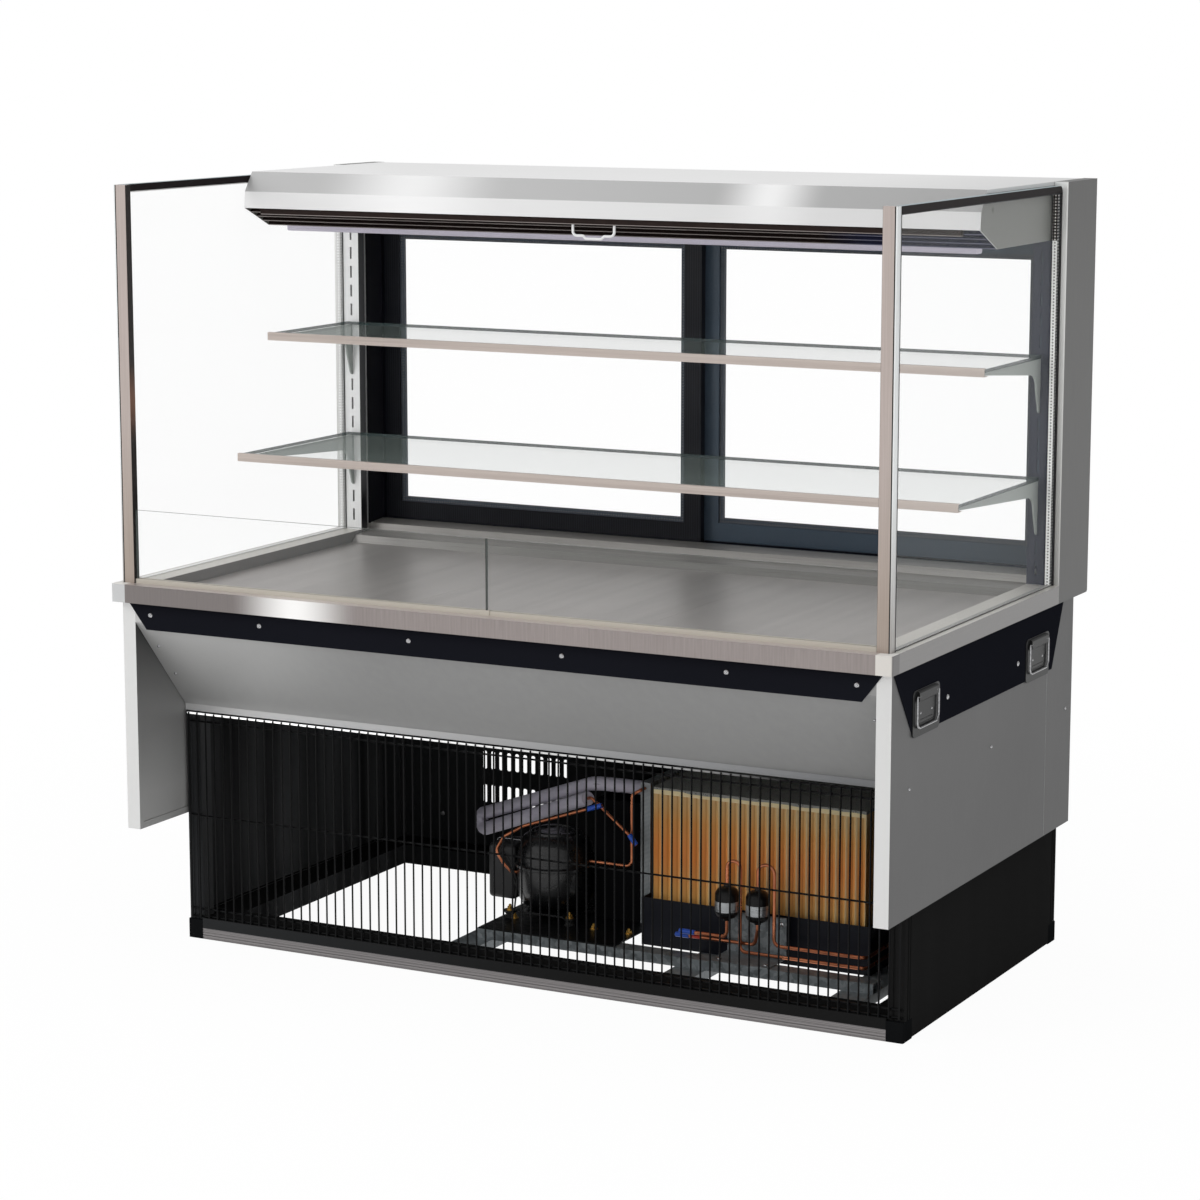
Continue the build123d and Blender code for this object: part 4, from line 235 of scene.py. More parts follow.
lamp("key_lamp", (-3.6, -4.8, 3.4), 3.0, 125)
lamp("side_lamp", (4.8, -3.2, 2.0), 2.4, 28)
lamp("top_lamp", (0.2, -0.4, 4.6), 3.0, 42)


# ---- Machine base: rail, channels, posts, feet and black panels ----
# The front rail is a drawn aluminium section. The channels and panels are black powder-coated
# sheet, and the feet are moulded caps pushed over the posts.
def setback(millimetres):
    """Y of a place the given distance behind the front edge of the countertop."""
    return (millimetres - 460) / 1000


def material(name, rough, metal=0.0, gloss=0.5, **fixed):
    """A new material, and its coordinates along the case."""
    made = bpy.data.materials.new(name)
    made.use_nodes = True
    sockets = made.node_tree.nodes["Principled BSDF"].inputs
    fixed.update(Roughness=rough, Metallic=metal, Specular_IOR_Level=gloss)
    for socket, value in fixed.items():
        sockets[socket.replace("_", " ")].default_value = value
    return made, Flow(made.node_tree).node("TexCoord", {}, {}, "Object")


def feed(made, colour=None, **flows):
    """Links a colour and other flows to a material's sockets, which are named as in Coat_Weight."""
    sockets = made.node_tree.nodes["Principled BSDF"].inputs
    if colour:
        flows["Base_Color"] = colour
    for name, flow in flows.items():
        flow.tree.links.new(flow.socket, sockets[name.replace("_", " ")])


def bumped(made, height, strength, depth=0.0002):
    values = {"Strength": strength, "Distance": depth, "Height": height}
    feed(made, Normal=height.node("Bump", {}, values))


def dress(made, *nodes):
    """Gives CAD nodes their finish."""
    for name in nodes:
        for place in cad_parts[name].material_slots:
            place.material = made


def powder_coat(name, dark, light, rough, grain=900, strength=0.12, gloss=0.5):
    """Paint with a fine grain, and broad patches where it is a little paler."""
    made, place = material(name, rough, gloss=gloss)
    patches = place.noise(2.2, 3)
    fine = place.noise(grain, 1.0)
    feed(made, (patches * 0.75 + fine * 0.25).mix(dark, light), Roughness=rough - 0.06 + fine * 0.12)
    bumped(made, fine, strength)
    return made


def brushed(name, dark, light, grain, rough, metal):
    """Metal with long fine scratches; grain is how tightly they lie along each axis."""
    made, place = material(name, rough, metal)
    fine = place.stretched(grain).noise(1, 3)
    broad = place.stretched(tuple(g / 9 for g in grain)).noise(1)
    streak = (fine * 0.45 + broad * 0.55 - 0.5) * 1.6 + 0.5
    feed(made, streak.mix(dark, light), Roughness=rough - 0.1 + fine * 0.2)
    bumped(made, fine, 0.06)
    return made


ALONG_X = (5, 700, 700)
RAIL_RIB = 0.006  # from one rib of the front rail to the next

made, place = material("drawn_aluminium", 0.42, 0.5)
grain = place.stretched((3, 500, 900)).noise(1, 3)
ribs = place.z.wave(RAIL_RIB).between(0.55, 1.0)
drawn = grain.mix("716e6e", "9f9b9b")
feed(made, (ribs * 0.55).mix(drawn, "4c4a4b"), Roughness=0.34 + grain * 0.16)
bumped(made, ribs, 0.4, 0.0008)
dress(made, "base_front_rail")

base_coat, place = material("base_black", 0.5, gloss=0.0)
grain = place.noise(700, 3)
sheen = place.stretched((1, 14, 0.8)).noise(1)
outer = (grain * 0.6 + sheen * 0.4).mix("1b1b1b", "252525")
# Painted light: the left side panel's inner face is painted lighter, and the faces that don't face the
# front are painted lighter towards the left end.
lit_inner_face = (place.facing("X") > 0.5) * (place.x < -0.6)
inner = sheen.between(0.3, 0.7).mix("2c2c2d", "5a5b5c")
behind = 1 - place.facing("Y").between(-0.8, -0.4)
outer = (behind * (1 - place.x.between(-0.6, 0.1))).mix(outer, "2e2f30")
feed(base_coat, lit_inner_face.mix(outer, inner), Roughness=0.42 + grain * 0.2)
bumped(base_coat, grain, 0.12, 0.0004)
dress(base_coat, "base_frame", "base_sides", "base_rear_panel")
dress(powder_coat("foot_moulding", "101112", "191a1b", 0.5, 1400, 0.2, 0.0), "base_corner_caps")


# ---- Front grille ----
# Round wires coated black, spot-welded to five cross wires behind them. Their tops carry a
# painted highlight, white and glowing, that fades out towards the right.
def link(name, mesh, made, body="case", smooth=30):
    """Puts a mesh in the scene as a piece that rides on a body."""
    mesh.name = name
    mesh.materials.append(made)
    if smooth:
        mesh.shade_smooth()
        mesh.set_sharp_from_angle(angle=math.radians(smooth))
    thing = put(name, mesh)
    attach(thing, body)
    return thing


def swept(routes, radius, steps=1):
    """A mesh of wires or tubes along lists of points, each with 4 + 2 * steps sides."""
    line = bpy.data.curves.new("route", "CURVE")
    line.dimensions = "3D"
    line.bevel_depth = radius
    line.bevel_resolution = steps
    line.use_fill_caps = True
    for route in routes:
        spline = line.splines.new("POLY")
        spline.points.add(len(route) - 1)
        for point, place in zip(spline.points, route):
            point.co = (*place, 1.0)
    holder = bpy.data.objects.new("route", line)
    mesh = bpy.data.meshes.new_from_object(holder)
    bpy.data.objects.remove(holder)
    bpy.data.curves.remove(line)
    return mesh


WIRE_RADIUS = 0.0018
WIRE_PITCH = 0.0185
HIGHLIGHT_TIP = 0.0045  # the stretch below each top painted as a glowing highlight
CROSS_WIRE_INSETS = (0.0163, 0.0023)  # from the foot and from the top
MIDDLE_WIRE_RISE = 0.195

low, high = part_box("front_grille")
count = int((high.x - low.x - 2 * WIRE_RADIUS) / WIRE_PITCH) + 1
y = low.y + WIRE_RADIUS
wires = []
for i in range(count):
    x = (i - (count - 1) / 2) * WIRE_PITCH
    wires.append([(x, y, low.z), (x, y, high.z)])
levels = [low.z + MIDDLE_WIRE_RISE]
for inset in CROSS_WIRE_INSETS:
    levels += [low.z + inset, high.z - inset]
y = high.y - WIRE_RADIUS
wires += [[(low.x + WIRE_RADIUS, y, z), (high.x - WIRE_RADIUS, y, z)] for z in levels]

wire_coat, place = material("wire_coat", 0.34, gloss=0.12, Emission_Strength=0.75)
cloud = place.noise(1500, 1)
# Painted highlight: the wire tops are painted white and made to glow, fading out towards the right.
lit = (place.z > high.z - HIGHLIGHT_TIP) * (place.y > low.y + 2.05 * WIRE_RADIUS)
lit = lit * place.x.between(0.5, -0.5)
feed(wire_coat, lit.mix(cloud.mix("050506", "0c0d0e"), "ffffff"))
feed(wire_coat, Emission_Color=lit.mix("000000", "ffffff"))
bumped(wire_coat, cloud, 0.05)
grille = link("grille_wires", swept(wires, WIRE_RADIUS), wire_coat)
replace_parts(grille, "front_grille")


# ---- Rear panel's folded edges ----
# Each upright edge of the rear panel is folded forwards, into the space beside the corner post.
def brick(work, low, high, turn=None):
    """A plain block between two corners, which a bevel sometimes rounds."""
    middle = (Vector(low) + Vector(high)) / 2
    size = Vector(high) - Vector(low)
    spin = turn.to_4x4() if turn else Matrix.Identity(4)
    frame_of = Matrix.Translation(middle) @ spin @ Matrix.Diagonal((*size, 1))
    return bmesh.ops.create_cube(work, size=1, matrix=frame_of)["verts"]


def bricks(work, boxes):
    for low, high in boxes:
        brick(work, low, high)


def build(maker, *arguments):
    """A mesh that the maker fills through bmesh."""
    work = bmesh.new()
    maker(work, *arguments)
    mesh = bpy.data.meshes.new("work")
    work.to_mesh(mesh)
    work.free()
    return mesh


EDGE_FOLD = 0.016
EDGE_SHEET = 0.0015

low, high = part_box("base_rear_panel")
folds = []
for x in (low.x, high.x - EDGE_SHEET):
    folds.append(((x, low.y - EDGE_FOLD, low.z), (x + EDGE_SHEET, low.y, high.z)))
link("panel_edges", build(bricks, folds), base_coat, smooth=0)


# ---- Skirt and side panels ----
# Satin sheet steel, folded at the edges. The skirt slopes back to a hemmed lip; each side is a
# hollow panel whose narrow front face is painted lighter than its broad faces, as painted light.
SKIRT_LIP_LEVEL = 0.4445

made, place = material("skirt_steel", 0.4, 0.35)
across = place.stretched((60, 3, 60)).noise(1)
fine = place.stretched((900, 30, 900)).noise(1)
# Painted light: the slope is painted paler low down, a painted highlight lies at its upper left, and
# the lip is painted light at the left and dark at the right.
paler_low = 1 - place.z.between(0.42, 0.62)
base = (across * 0.6 + fine * 0.4).mix("868686", "959594")
base = (paler_low * 0.25).mix(base, "9c9c9b")
painted_glow = place.x.near(-0.66, 0.9) * (place.z.between(0.46, 0.6) * 0.8 + 0.2)
base = (painted_glow * 0.85).mix(base, "c4c4c3")
on_lip = place.z < SKIRT_LIP_LEVEL
lip = place.x.between(-0.6, 0.6).mix("c3c3c3", "757678")
feed(made, on_lip.mix(base, lip), Roughness=0.34 + fine * 0.14)
bumped(made, fine, 0.03)
dress(made, "front_skirt")

made, place = material("panel_steel", 0.46, 0.25, gloss=0.25)
# Painted light: the narrow front face is painted light, the broad outer faces are painted darker
# towards the rear and low down, and the left panel's inner face is painted light low down and dark
# higher up.
front_face = 1 - place.facing("Y").between(-0.95, -0.6)
drift = place.stretched((1, 2.2, 1.4)).noise(1.6, 3)
fine = place.stretched((900, 900, 18)).noise(1)
broad = drift * 0.8 + fine * 0.2
outer = broad.mix("505050", "676767")
rear_shade = place.y.between(-0.2, 0.42)
outer = (rear_shade * 0.4).mix(outer, "4a4a4a")
inner = place.z.between(0.3, 0.6).mix("b2b2b1", "3c3c3c")
left_inside = (place.x < -0.7) * place.facing("X").between(0.4, 0.8)
sink = (1 - place.z.between(0.3, 0.5)) * (1 - left_inside)
outer = (sink * 0.3).mix(outer, "464646")
faces = left_inside.mix(outer, inner)
feed(made, front_face.mix(faces, "dadad9"), Roughness=0.36 + fine * 0.14)
bumped(made, fine, 0.03)
dress(made, "side_panels")


# ---- Black bands, lifting handles and screws ----
# Powder-coated plates hang under the countertop. A pressed plate on each end of the side bands
# carries a chromed wire bail, and cross-head screws hold the lot.
dress(powder_coat("band_coat", "15161b", "1b1c22", 0.42, gloss=0.0), "black_bands")
plate_coat = powder_coat("handle_coat", "161718", "252626", 0.3, 1200, 0.08, 0.15)
dress(plate_coat, "handle_plates")


def rounded(route, bends, steps=8):
    """The points of straight runs joined by arcs, one bend radius for each inner corner."""
    points = [Vector(p) for p in route]
    path = [points[0]]
    for i, radius in enumerate(bends):
        before, corner, after = points[i], points[i + 1], points[i + 2]
        into = (corner - before).normalized()
        out = (after - corner).normalized()
        turn = into.angle(out)
        reach = radius * math.tan(turn / 2)
        start, end = corner - into * reach, corner + out * reach
        centre = corner + (out - into).normalized() * (radius / math.cos(turn / 2))
        spoke = start - centre
        axle = into.cross(out).normalized()
        path += [centre + Matrix.Rotation(turn * k / steps, 3, axle) @ spoke for k in range(steps)]
        path.append(end)
    return path + [points[-1]]


def chrome(name, tint):
    made, place = material(name, 0.14, 1.0)
    haze = place.noise(220)
    feed(made, haze.mix(tint, "c4c4c6"), Roughness=0.1 + haze * 0.12)
    return made


BAIL_WIRE = 0.002
BAIL_CORNER = 0.011
BAIL_TIGHT = 0.003
BAIL_BITE = 0.011  # how deep each end sits in the housing
HOUSING_HALF = 0.041

bail_chrome = chrome("bail_chrome", "5c5c5e")
for side in ("left", "right"):
    for end in ("front", "rear"):
        node = f"bail_{end}_{side}"
        low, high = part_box(node)
        x = (low.x + high.x) / 2
        foot, top = low.z + BAIL_WIRE, high.z - BAIL_WIRE
        middle = (low.y + high.y) / 2
        near, far = low.y + BAIL_WIRE, high.y - BAIL_WIRE
        inset = HOUSING_HALF - BAIL_BITE
        route = [(x, middle - inset, top), (x, near, top), (x, near, foot)]
        route += [(x, far, foot), (x, far, top), (x, middle + inset, top)]
        path = rounded(route, [BAIL_TIGHT, BAIL_CORNER, BAIL_CORNER, BAIL_TIGHT])
        wire = swept([path], BAIL_WIRE, 2)
        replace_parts(link(node + "_wire", wire, bail_chrome, f"handle_{end}_{side}"), node)


def lathe(work, outline, place, way, sides):
    """Turns an outline of radius and height about a line that starts at place and runs along way."""
    stand = Vector(way).to_track_quat("Z", "Y").to_matrix()
    rings = []
    for radius, height in outline:
        ring = []
        for k in range(sides if radius > 0 else 1):
            angle = 2 * math.pi * k / sides
            spot = Vector((radius * math.cos(angle), radius * math.sin(angle), height))
            ring.append(work.verts.new(Vector(place) + stand @ spot))
        rings.append(ring)
    for first_ring, second_ring in zip(rings, rings[1:]):
        for k in range(sides):
            a, b = first_ring[k % len(first_ring)], first_ring[(k + 1) % len(first_ring)]
            c, d = second_ring[(k + 1) % len(second_ring)], second_ring[k % len(second_ring)]
            corners = list(dict.fromkeys((a, b, c, d)))
            if len(corners) > 2:
                work.faces.new(corners)


def turned(work, outline, spots, sides):
    """The same turned piece at every spot, which is a place and the way that it points."""
    for place, way in spots:
        lathe(work, outline, place, way, sides)


PLATE_FACE = 0.7538  # half the width over the pressed plates, less what the beads sink in
PLATE_SETBACKS = (162, 682)
BEAD_RADIUS = 0.0007
BEAD_CORNER = 0.006
BEAD_HALF = 0.034
BEAD_LOW, BEAD_TOP = 0.5575, 0.575
INNER_HALF, INNER_LEVEL = 0.026, 0.5635  # the short bead inside the long one
RIVET_HALF, RIVET_LEVEL = 0.024, 0.5745
RIVET_DOME = [(0, 0.0009), (0.0012, 0.0008), (0.0020, 0.0004), (0.0023, 0)]

beads = []
rivets = []
for s in (-1, 1):
    for distance in PLATE_SETBACKS:
        x, y = s * PLATE_FACE, setback(distance)
        loop = [(x, y - BEAD_HALF, BEAD_TOP), (x, y - BEAD_HALF, BEAD_LOW)]
        loop += [(x, y + BEAD_HALF, BEAD_LOW), (x, y + BEAD_HALF, BEAD_TOP)]
        beads.append(rounded(loop, [BEAD_CORNER] * 2, 5))
        beads.append([(x, y - INNER_HALF, INNER_LEVEL), (x, y + INNER_HALF, INNER_LEVEL)])
        rivets += [((x, y + end * RIVET_HALF, RIVET_LEVEL), (s, 0, 0)) for end in (-1, 1)]
link("plate_beads", swept(beads, BEAD_RADIUS), plate_coat)
rivet_steel = chrome("rivet_steel", "a9a9ab")
link("plate_rivets", build(turned, RIVET_DOME, rivets, 14), rivet_steel)

HEAD_HEIGHT = 0.0022
HEAD_OUTLINE = ((0, 1), (0.45, 0.97), (0.8, 0.7), (1, 0.2), (1, 0))  # in radii and heights
CROSS_LENGTH, CROSS_WIDTH = 0.62, 0.12  # half of each, in radii of the head
BIG_HEAD = 0.0045
SMALL_HEAD = 0.003


def screw_heads(work, spots):
    for place, way, radius in spots:
        dome = [(r * radius, h * HEAD_HEIGHT) for r, h in HEAD_OUTLINE]
        lathe(work, dome, place, way, 16)


def cross_recesses(work, spots):
    for place, way, radius in spots:
        stand = Vector(way).normalized()
        turn = stand.to_track_quat("Z", "Y").to_matrix()
        centre = Vector(place) + stand * (HEAD_HEIGHT * 0.93)
        for wide, high in ((CROSS_LENGTH, CROSS_WIDTH), (CROSS_WIDTH, CROSS_LENGTH)):
            reach = Vector((wide * radius, high * radius, 0.0001))
            brick(work, centre - reach, centre + reach, turn)


FRONT_SCREWS = (0.150, 0.457, 0.690)  # X, on each side of the middle
FRONT_SETBACK, FRONT_LEVEL = 20.2, 0.636
BAND_FACE, BAND_LEVEL = 0.7525, 0.580
PANEL_FACE, PANEL_LEVEL = 0.751, 0.454
SLOPE_TOP = (21.7, 0.621)  # setback and level of the fold over the skirt's slope
SLOPE_FOOT = (173.0, 0.444)
SLOPE_SCREW = 0.704

slope = (SLOPE_FOOT[1] - SLOPE_TOP[1]) / (SLOPE_FOOT[0] - SLOPE_TOP[0])
spots = []
for s in (-1, 1):
    for x in FRONT_SCREWS:
        spots.append(((s * x, setback(FRONT_SETBACK), FRONT_LEVEL), (0, -1, 0), BIG_HEAD))
    spots += [((s * BAND_FACE, setback(y), BAND_LEVEL), (s, 0, 0), BIG_HEAD) for y in (258, 587)]
    for y in (100, 468, 840):
        spots.append(((s * PANEL_FACE, setback(y), PANEL_LEVEL), (s, 0, 0), SMALL_HEAD))
    for y in (64, 115):
        z = SLOPE_TOP[1] + slope * (y - SLOPE_TOP[0])
        spots.append(((s * SLOPE_SCREW, setback(y), z), (0, slope * 1000, -1), SMALL_HEAD))
heads = link("screw_heads", build(screw_heads, spots), chrome("screw_zinc", "a6a6a8"))
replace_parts(heads, "screws")
# The cross in each head is a flat mark painted dark, as painted shade in the recess.
recess_shade = powder_coat("screw_recess", "121212", "2a2a2a", 0.6)
link("screw_recesses", build(cross_recesses, spots), recess_shade, smooth=0)


# ---- Countertop, tank, deck and riser ----
# The rim is folded from brushed stainless sheet with satin cast caps at the corners. The deck is
# three loose stainless pans over the coil, and the tank under them is lined with bright sheet.
made, place = material("rim_steel", 0.34, 0.55)
grain = place.stretched((260, 900, 12)).noise(1, 3)
sheen = place.stretched((5, 1, 1)).noise(1)
# Painted light: a painted highlight lies left of the middle, the front is painted darker from there to
# the left end, and the top face is painted light.
painted_glow = place.x.near(-0.37, 0.27)
base = (grain * 0.75 + sheen * 0.25).mix("7d7573", "a79e9b")
base = (place.x.between(-0.15, -0.5) * 0.6).mix(base, "676362")
lit_top = place.facing("Z").between(0.3, 0.7)
feed(made, (lit_top * 0.7).mix(painted_glow.mix(base, "fbfaf8"), "d5cbc8"), Roughness=0.26 + grain * 0.2)
bumped(made, grain, 0.08)
dress(made, "countertop_front")

made, place = material("side_rim_steel", 0.38, 0.35)
grain = place.stretched((900, 12, 260)).noise(1, 3)
# Painted light: the top face is painted light.
lit_top = place.facing("Z").between(0.3, 0.7)
feed(made, lit_top.mix(grain.mix("7b7a79", "8d8b8a"), "cfccc6"), Roughness=0.32 + grain * 0.14)
bumped(made, grain, 0.05)
dress(made, "countertop_sides")

made, place = material("cap_satin", 0.4)
cloud = place.noise(1500, 1)
# Painted light: the left caps are painted a cooler grey than the right ones, the faces turned to the
# right are painted dark as painted shade, and the top faces are painted light.
warm = place.x.between(-0.1, 0.1).mix("c2c3c4", "d8d4ce")
warm = (cloud * 0.15).mix(warm, "b9b6b1")
beside = place.facing("X").between(0.5, 0.9)
lit_top = place.facing("Z").between(0.3, 0.7)
feed(made, lit_top.mix(beside.mix(warm, "696767"), "e2e0dc"))
bumped(made, cloud, 0.06)
dress(made, "countertop_corner_caps")

dress(brushed("tank_lining", "9a9c9d", "b6b8b9", ALONG_X, 0.4, 0.4), "tank")
dress(brushed("deck_steel", "928e8c", "b9b4b1", (260, 14, 700), 0.36, 0.5), "deck_pans")
dress(brushed("riser_steel", "8a8785", "b4b1ad", ALONG_X, 0.32, 0.6), "rear_riser")


# ---- Front glass and its channel ----
# Two low panes of clear toughened glass stand in a cream aluminium channel, with a steel joiner
# over the gap. Only their ground edges show.
def glass(name, edge, tint, faces_along, cover):
    """Clear glass: a faint skin over the broad faces that thickens at a slant as a painted reflection,
    and a coloured ground edge.
    """
    made, place = material(name, 0.03, IOR=1.5)
    ground = 1 - place.facing(faces_along).maths("ABSOLUTE").between(0.4, 0.8)
    painted_glint = place.node("LayerWeight", {}, {"Blend": 0.35}, "Fresnel")
    smear = place.noise(3, 3)
    skin = painted_glint * 0.1 + cover + smear * 0.006
    feed(made, ground.mix(tint, edge), Alpha=ground * 0.9 + (1 - ground) * skin)
    feed(made, Roughness=0.02 + smear * 0.03 + ground * 0.2)
    return made


dress(brushed("channel_cream", "b9b3a8", "d2ccc0", ALONG_X, 0.4, 0.25), "glass_channel")
dress(glass("front_glass_clear", "5d6461", "f2f6f5", "Y", 0.008), "front_glass")


# ---- End glass, posts and trims ----
# Each end is two panes sealed over a punched aluminium spacer. A brushed post stands at its front
# edge and a dark trim runs over the top and down the rear, round one curved corner.
PANE = 0.003  # the thickness of one pane
PUNCH_STEP = 0.0055
END_BARS = (0.002, 0.010, 0.002, 0.002)  # the spacer's width in front, behind, below and above


def sealed_glass(name, normal):
    """The skins of a sealed unit: all but clear over the faces, with a painted reflection at a slant,
    and a dark rim.
    """
    made, place = material(name, 0.04, IOR=1.45)
    rim = place.facing(normal).maths("ABSOLUTE") < 0.5
    painted_glint = place.node("LayerWeight", {}, {"Blend": 0.3}, "Fresnel")
    skin = painted_glint * 0.05 + 0.004 + place.noise(3, 3) * 0.004
    feed(made, rim.mix("f2f7f5", "1a1a1d"), Alpha=rim * 0.97 + (1 - rim) * skin)
    feed(made, Roughness=0.03 + rim * 0.35)
    return made


def spacer_metal(name, metal, hole, front, painted_light_left=None, shaded_from=None):
    """Spacer bar with a grid of punched holes; its front face is painted light up to the hood's painted
    shade, and the left unit's bar can be painted light all over.
    """
    made, place = material(name, 0.4, gloss=0.1)
    across = (place.x + place.y).wave(PUNCH_STEP)
    holes = (across > 0.1) * (place.z.wave(PUNCH_STEP) > 0.1)
    ahead = 1 - place.facing("Y").between(-0.9, -0.5)
    lit = holes.mix(front, "6c6c6b")
    if shaded_from:
        shaded = holes.mix("2a2624", "e4e0dc")
        lit = (place.z > shaded_from).mix(lit, shaded)
    bar = ahead.mix(holes.mix(metal, hole), lit)
    if painted_light_left:
        bar = (place.x < 0.0).mix(bar, holes.mix(painted_light_left, "ffffff"))
    feed(made, bar, Roughness=0.36 + holes * 0.2)
    return made


def spacer_ring(work, boxes, flat, widths):
    """Four bars round the edge of each unit: low and high along the first axis, then the second."""
    i, j = ["XYZ".index(letter) for letter in flat]
    k = 3 - i - j
    for unit_low, unit_high in boxes:
        for n, width in enumerate(widths):
            axis = (i, j)[n // 2]
            low, high = list(unit_low), list(unit_high)
            low[k] += PANE
            high[k] -= PANE
            if n % 2:
                low[axis] = high[axis] - width
            else:
                high[axis] = low[axis] + width
            if axis == j:
                low[i] += widths[0]
                high[i] -= widths[1]
            brick(work, low, high)


low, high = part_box("end_glass")
inner = min(v.co.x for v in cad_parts["end_glass"].data.vertices if v.co.x > 0)
ends = [((inner, low.y, low.z), high), (low, (-inner, high.y, high.z))]
end_clear = sealed_glass("end_glass_clear", "X")
panes = link("end_panes", build(bricks, ends), end_clear, smooth=0)
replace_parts(panes, "end_glass")
hood_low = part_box("hood_shell")[0].z
end_bar = spacer_metal("end_spacer_metal", "232329", "d9d9d6", "f4f4f2", "dcdcdb", hood_low)
link("end_spacers", build(spacer_ring, ends, "YZ", END_BARS), end_bar, smooth=0)

POST_WIDTH = 0.026
POST_FACE = 0.021  # the brushed face, from the inner edge; a dark seal and a side painted bright as painted light follow
POST_SEAL = 0.0022
ALONG_Z = (700, 700, 5)

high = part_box("end_posts")[1]
made, place = material("post_steel", 0.34, 0.45)
grain = place.stretched(ALONG_Z).noise(1, 3)
beyond = place.x.maths("ABSOLUTE") - (high.x - POST_WIDTH + POST_FACE)
seal = (beyond > 0.0) * (beyond < POST_SEAL)
steel = grain.mix("a3978f", "c9bcb8")
steel = place.z.between(1.0, 0.75).mix(steel, grain.mix("978a80", "b3a59a"))
# Painted light: the side beyond the seal is painted bright, brighter higher up; the inner faces are
# painted dark brown as painted shade, with a coppery painted glint across them.
inward = place.facing("X") * (1 - (place.x > 0.0) * 2)
painted_light_side = place.z.between(0.72, 0.95).mix("a8a5a2", "e9ecec")
steel = (beyond > 0.0).mix(steel, seal.mix(painted_light_side, "171412"))
coppery_glint = place.z.near(1.02, 0.16)
feed(made, (inward > 0.5).mix(steel, coppery_glint.mix("1c1614", "74503e")), Roughness=0.26 + grain * 0.16)
bumped(made, grain, 0.05)
dress(made, "end_posts")

made, place = material("trim_black", 0.4, gloss=0.05)
cloud = place.noise(1200, 1)
# Painted light: the top faces are painted light, and the left trim's rear part is painted pale.
crown = place.facing("Z").between(0.3, 0.8)
pale = (place.x < 0.0) * (place.y > setback(762.5))
trim = crown.mix(cloud.mix("161112", "201a1b"), "9aa6aa")
feed(made, pale.mix(trim, "dededc"))
bumped(made, cloud, 0.05)
dress(made, "end_trims")


# ---- Rear columns, hood, air outlet and lamp ----
# The columns and the hood are folded satin steel. The outlet under the brow is a dark honeycomb
# strip with bright ribs, and the lamp behind it has a frosted cover.
made, place = material("column_steel", 0.4, 0.35)
fine = place.stretched((900, 900, 12)).noise(1)
# Painted light: the outer faces are painted lighter higher up, the front faces are painted light, the
# left column's inner face is painted near white, and the right column's inner face is painted navy as a
# painted reflection.
rise = place.z.between(0.7, 1.41)
outer = rise.mix("525251", "646463")
outer = (fine * 0.4).mix(outer, "5e5e5d")
edge = 1 - place.facing("Y").between(-0.6, -0.12)
front = place.z.between(0.7, 1.3).mix("bdbdba", "ececea")
lit_inside_left = place.facing("X").between(0.5, 0.9) * (place.x < 0.0)
navy_inside_right = place.facing("X").between(-0.5, -0.9) * (place.x > 0.0)
outer = lit_inside_left.mix(outer, "f0f0ef")
outer = navy_inside_right.mix(outer, "24273a")
feed(made, edge.mix(outer, front), Roughness=0.34 + fine * 0.14)
bumped(made, fine, 0.03)
dress(made, "rear_columns")

made, place = material("hood_steel", 0.36, 0.2)
fine = place.stretched((8, 700, 700)).noise(1)
# Painted light: each face of the hood gets its own painted tone, two painted highlights lie along the
# brow and the front face, and the end plates are painted darker as painted shade.
along = place.x
first_highlight, second_highlight = along.near(-0.38, 0.42), along.near(0.34, 0.22)
rise = place.facing("Z")
slanted = rise.between(0.2, 0.5) * (1 - rise.between(0.8, 0.97))
upright = 1 - rise.maths("ABSOLUTE").between(0.2, 0.5)
brow = along.between(-0.2, 0.75).mix("b4b4b4", "9d9d9d")
brow = (first_highlight * 0.7 + second_highlight * 0.75).mix(brow, "f6f6f6")
front_face = along.between(-0.3, 0.6).mix("e2e2e2", "d6d6d6")
front_face = (first_highlight * 0.8 + second_highlight * 0.5).mix(front_face, "f4f4f4")
crown = (fine * 0.5).mix("f2f2f2", "e0e0e0")
crown = along.between(0.4, 0.75).mix(crown, "dcdcdc")
steel = upright.mix(slanted.mix(crown, brow), front_face)
trim_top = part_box("end_trims")[1].z + 0.0005
end_plate = place.facing("X").maths("ABSOLUTE").between(0.6, 0.9) * (place.z < trim_top)
feed(made, end_plate.mix(steel, "767773"), Roughness=0.3 + fine * 0.14)
bumped(made, fine, 0.03)
dress(made, "hood_shell")

NOSE_SETBACK, NOSE_LEVEL = 413.5, 1.3445
OUTLET_SLOPE = (0.406, 0.914)  # along Y and Z, how deep the strip lies behind its face
OUTLET_RIB = 0.0009

made, place = material("outlet_plastic", 0.5, gloss=0.1)
behind, above = place.y - setback(NOSE_SETBACK), place.z - NOSE_LEVEL
depth = behind * OUTLET_SLOPE[0] + above * OUTLET_SLOPE[1]
cells = place.cells(240)
far = place.x.between(0.42, 0.5)
dark = far.mix((cells * 0.6).mix("150e0c", "2a201e"), "2a2c42")
rib = far.mix("8b8380", "6f7086")
feed(made, (depth < OUTLET_RIB).mix(dark, rib))
bumped(made, cells, 0.25, 0.001)
dress(made, "discharge_grille")

made, place = material("lamp_cover", 0.3, Emission_Strength=0.12)
frost = place.noise(500)
feed(made, frost.mix("aaa5b3", "bdb8c6"), Emission_Color=frost.mix("c9c4d2", "d8d3e0"))
bumped(made, frost, 0.05)
dress(made, "hood_lamp")


# ---- Night curtain ----
# A coated woven blind on a spring roller inside the hood. Its weighted bar rests behind the nose
# of the hood, with a bent white wire grip at the middle.
WARP_PITCH = 0.0041888
WEFT_PITCH = 0.0034907
PIN_START = 0.715  # beyond it, the roller is a bare steel pin

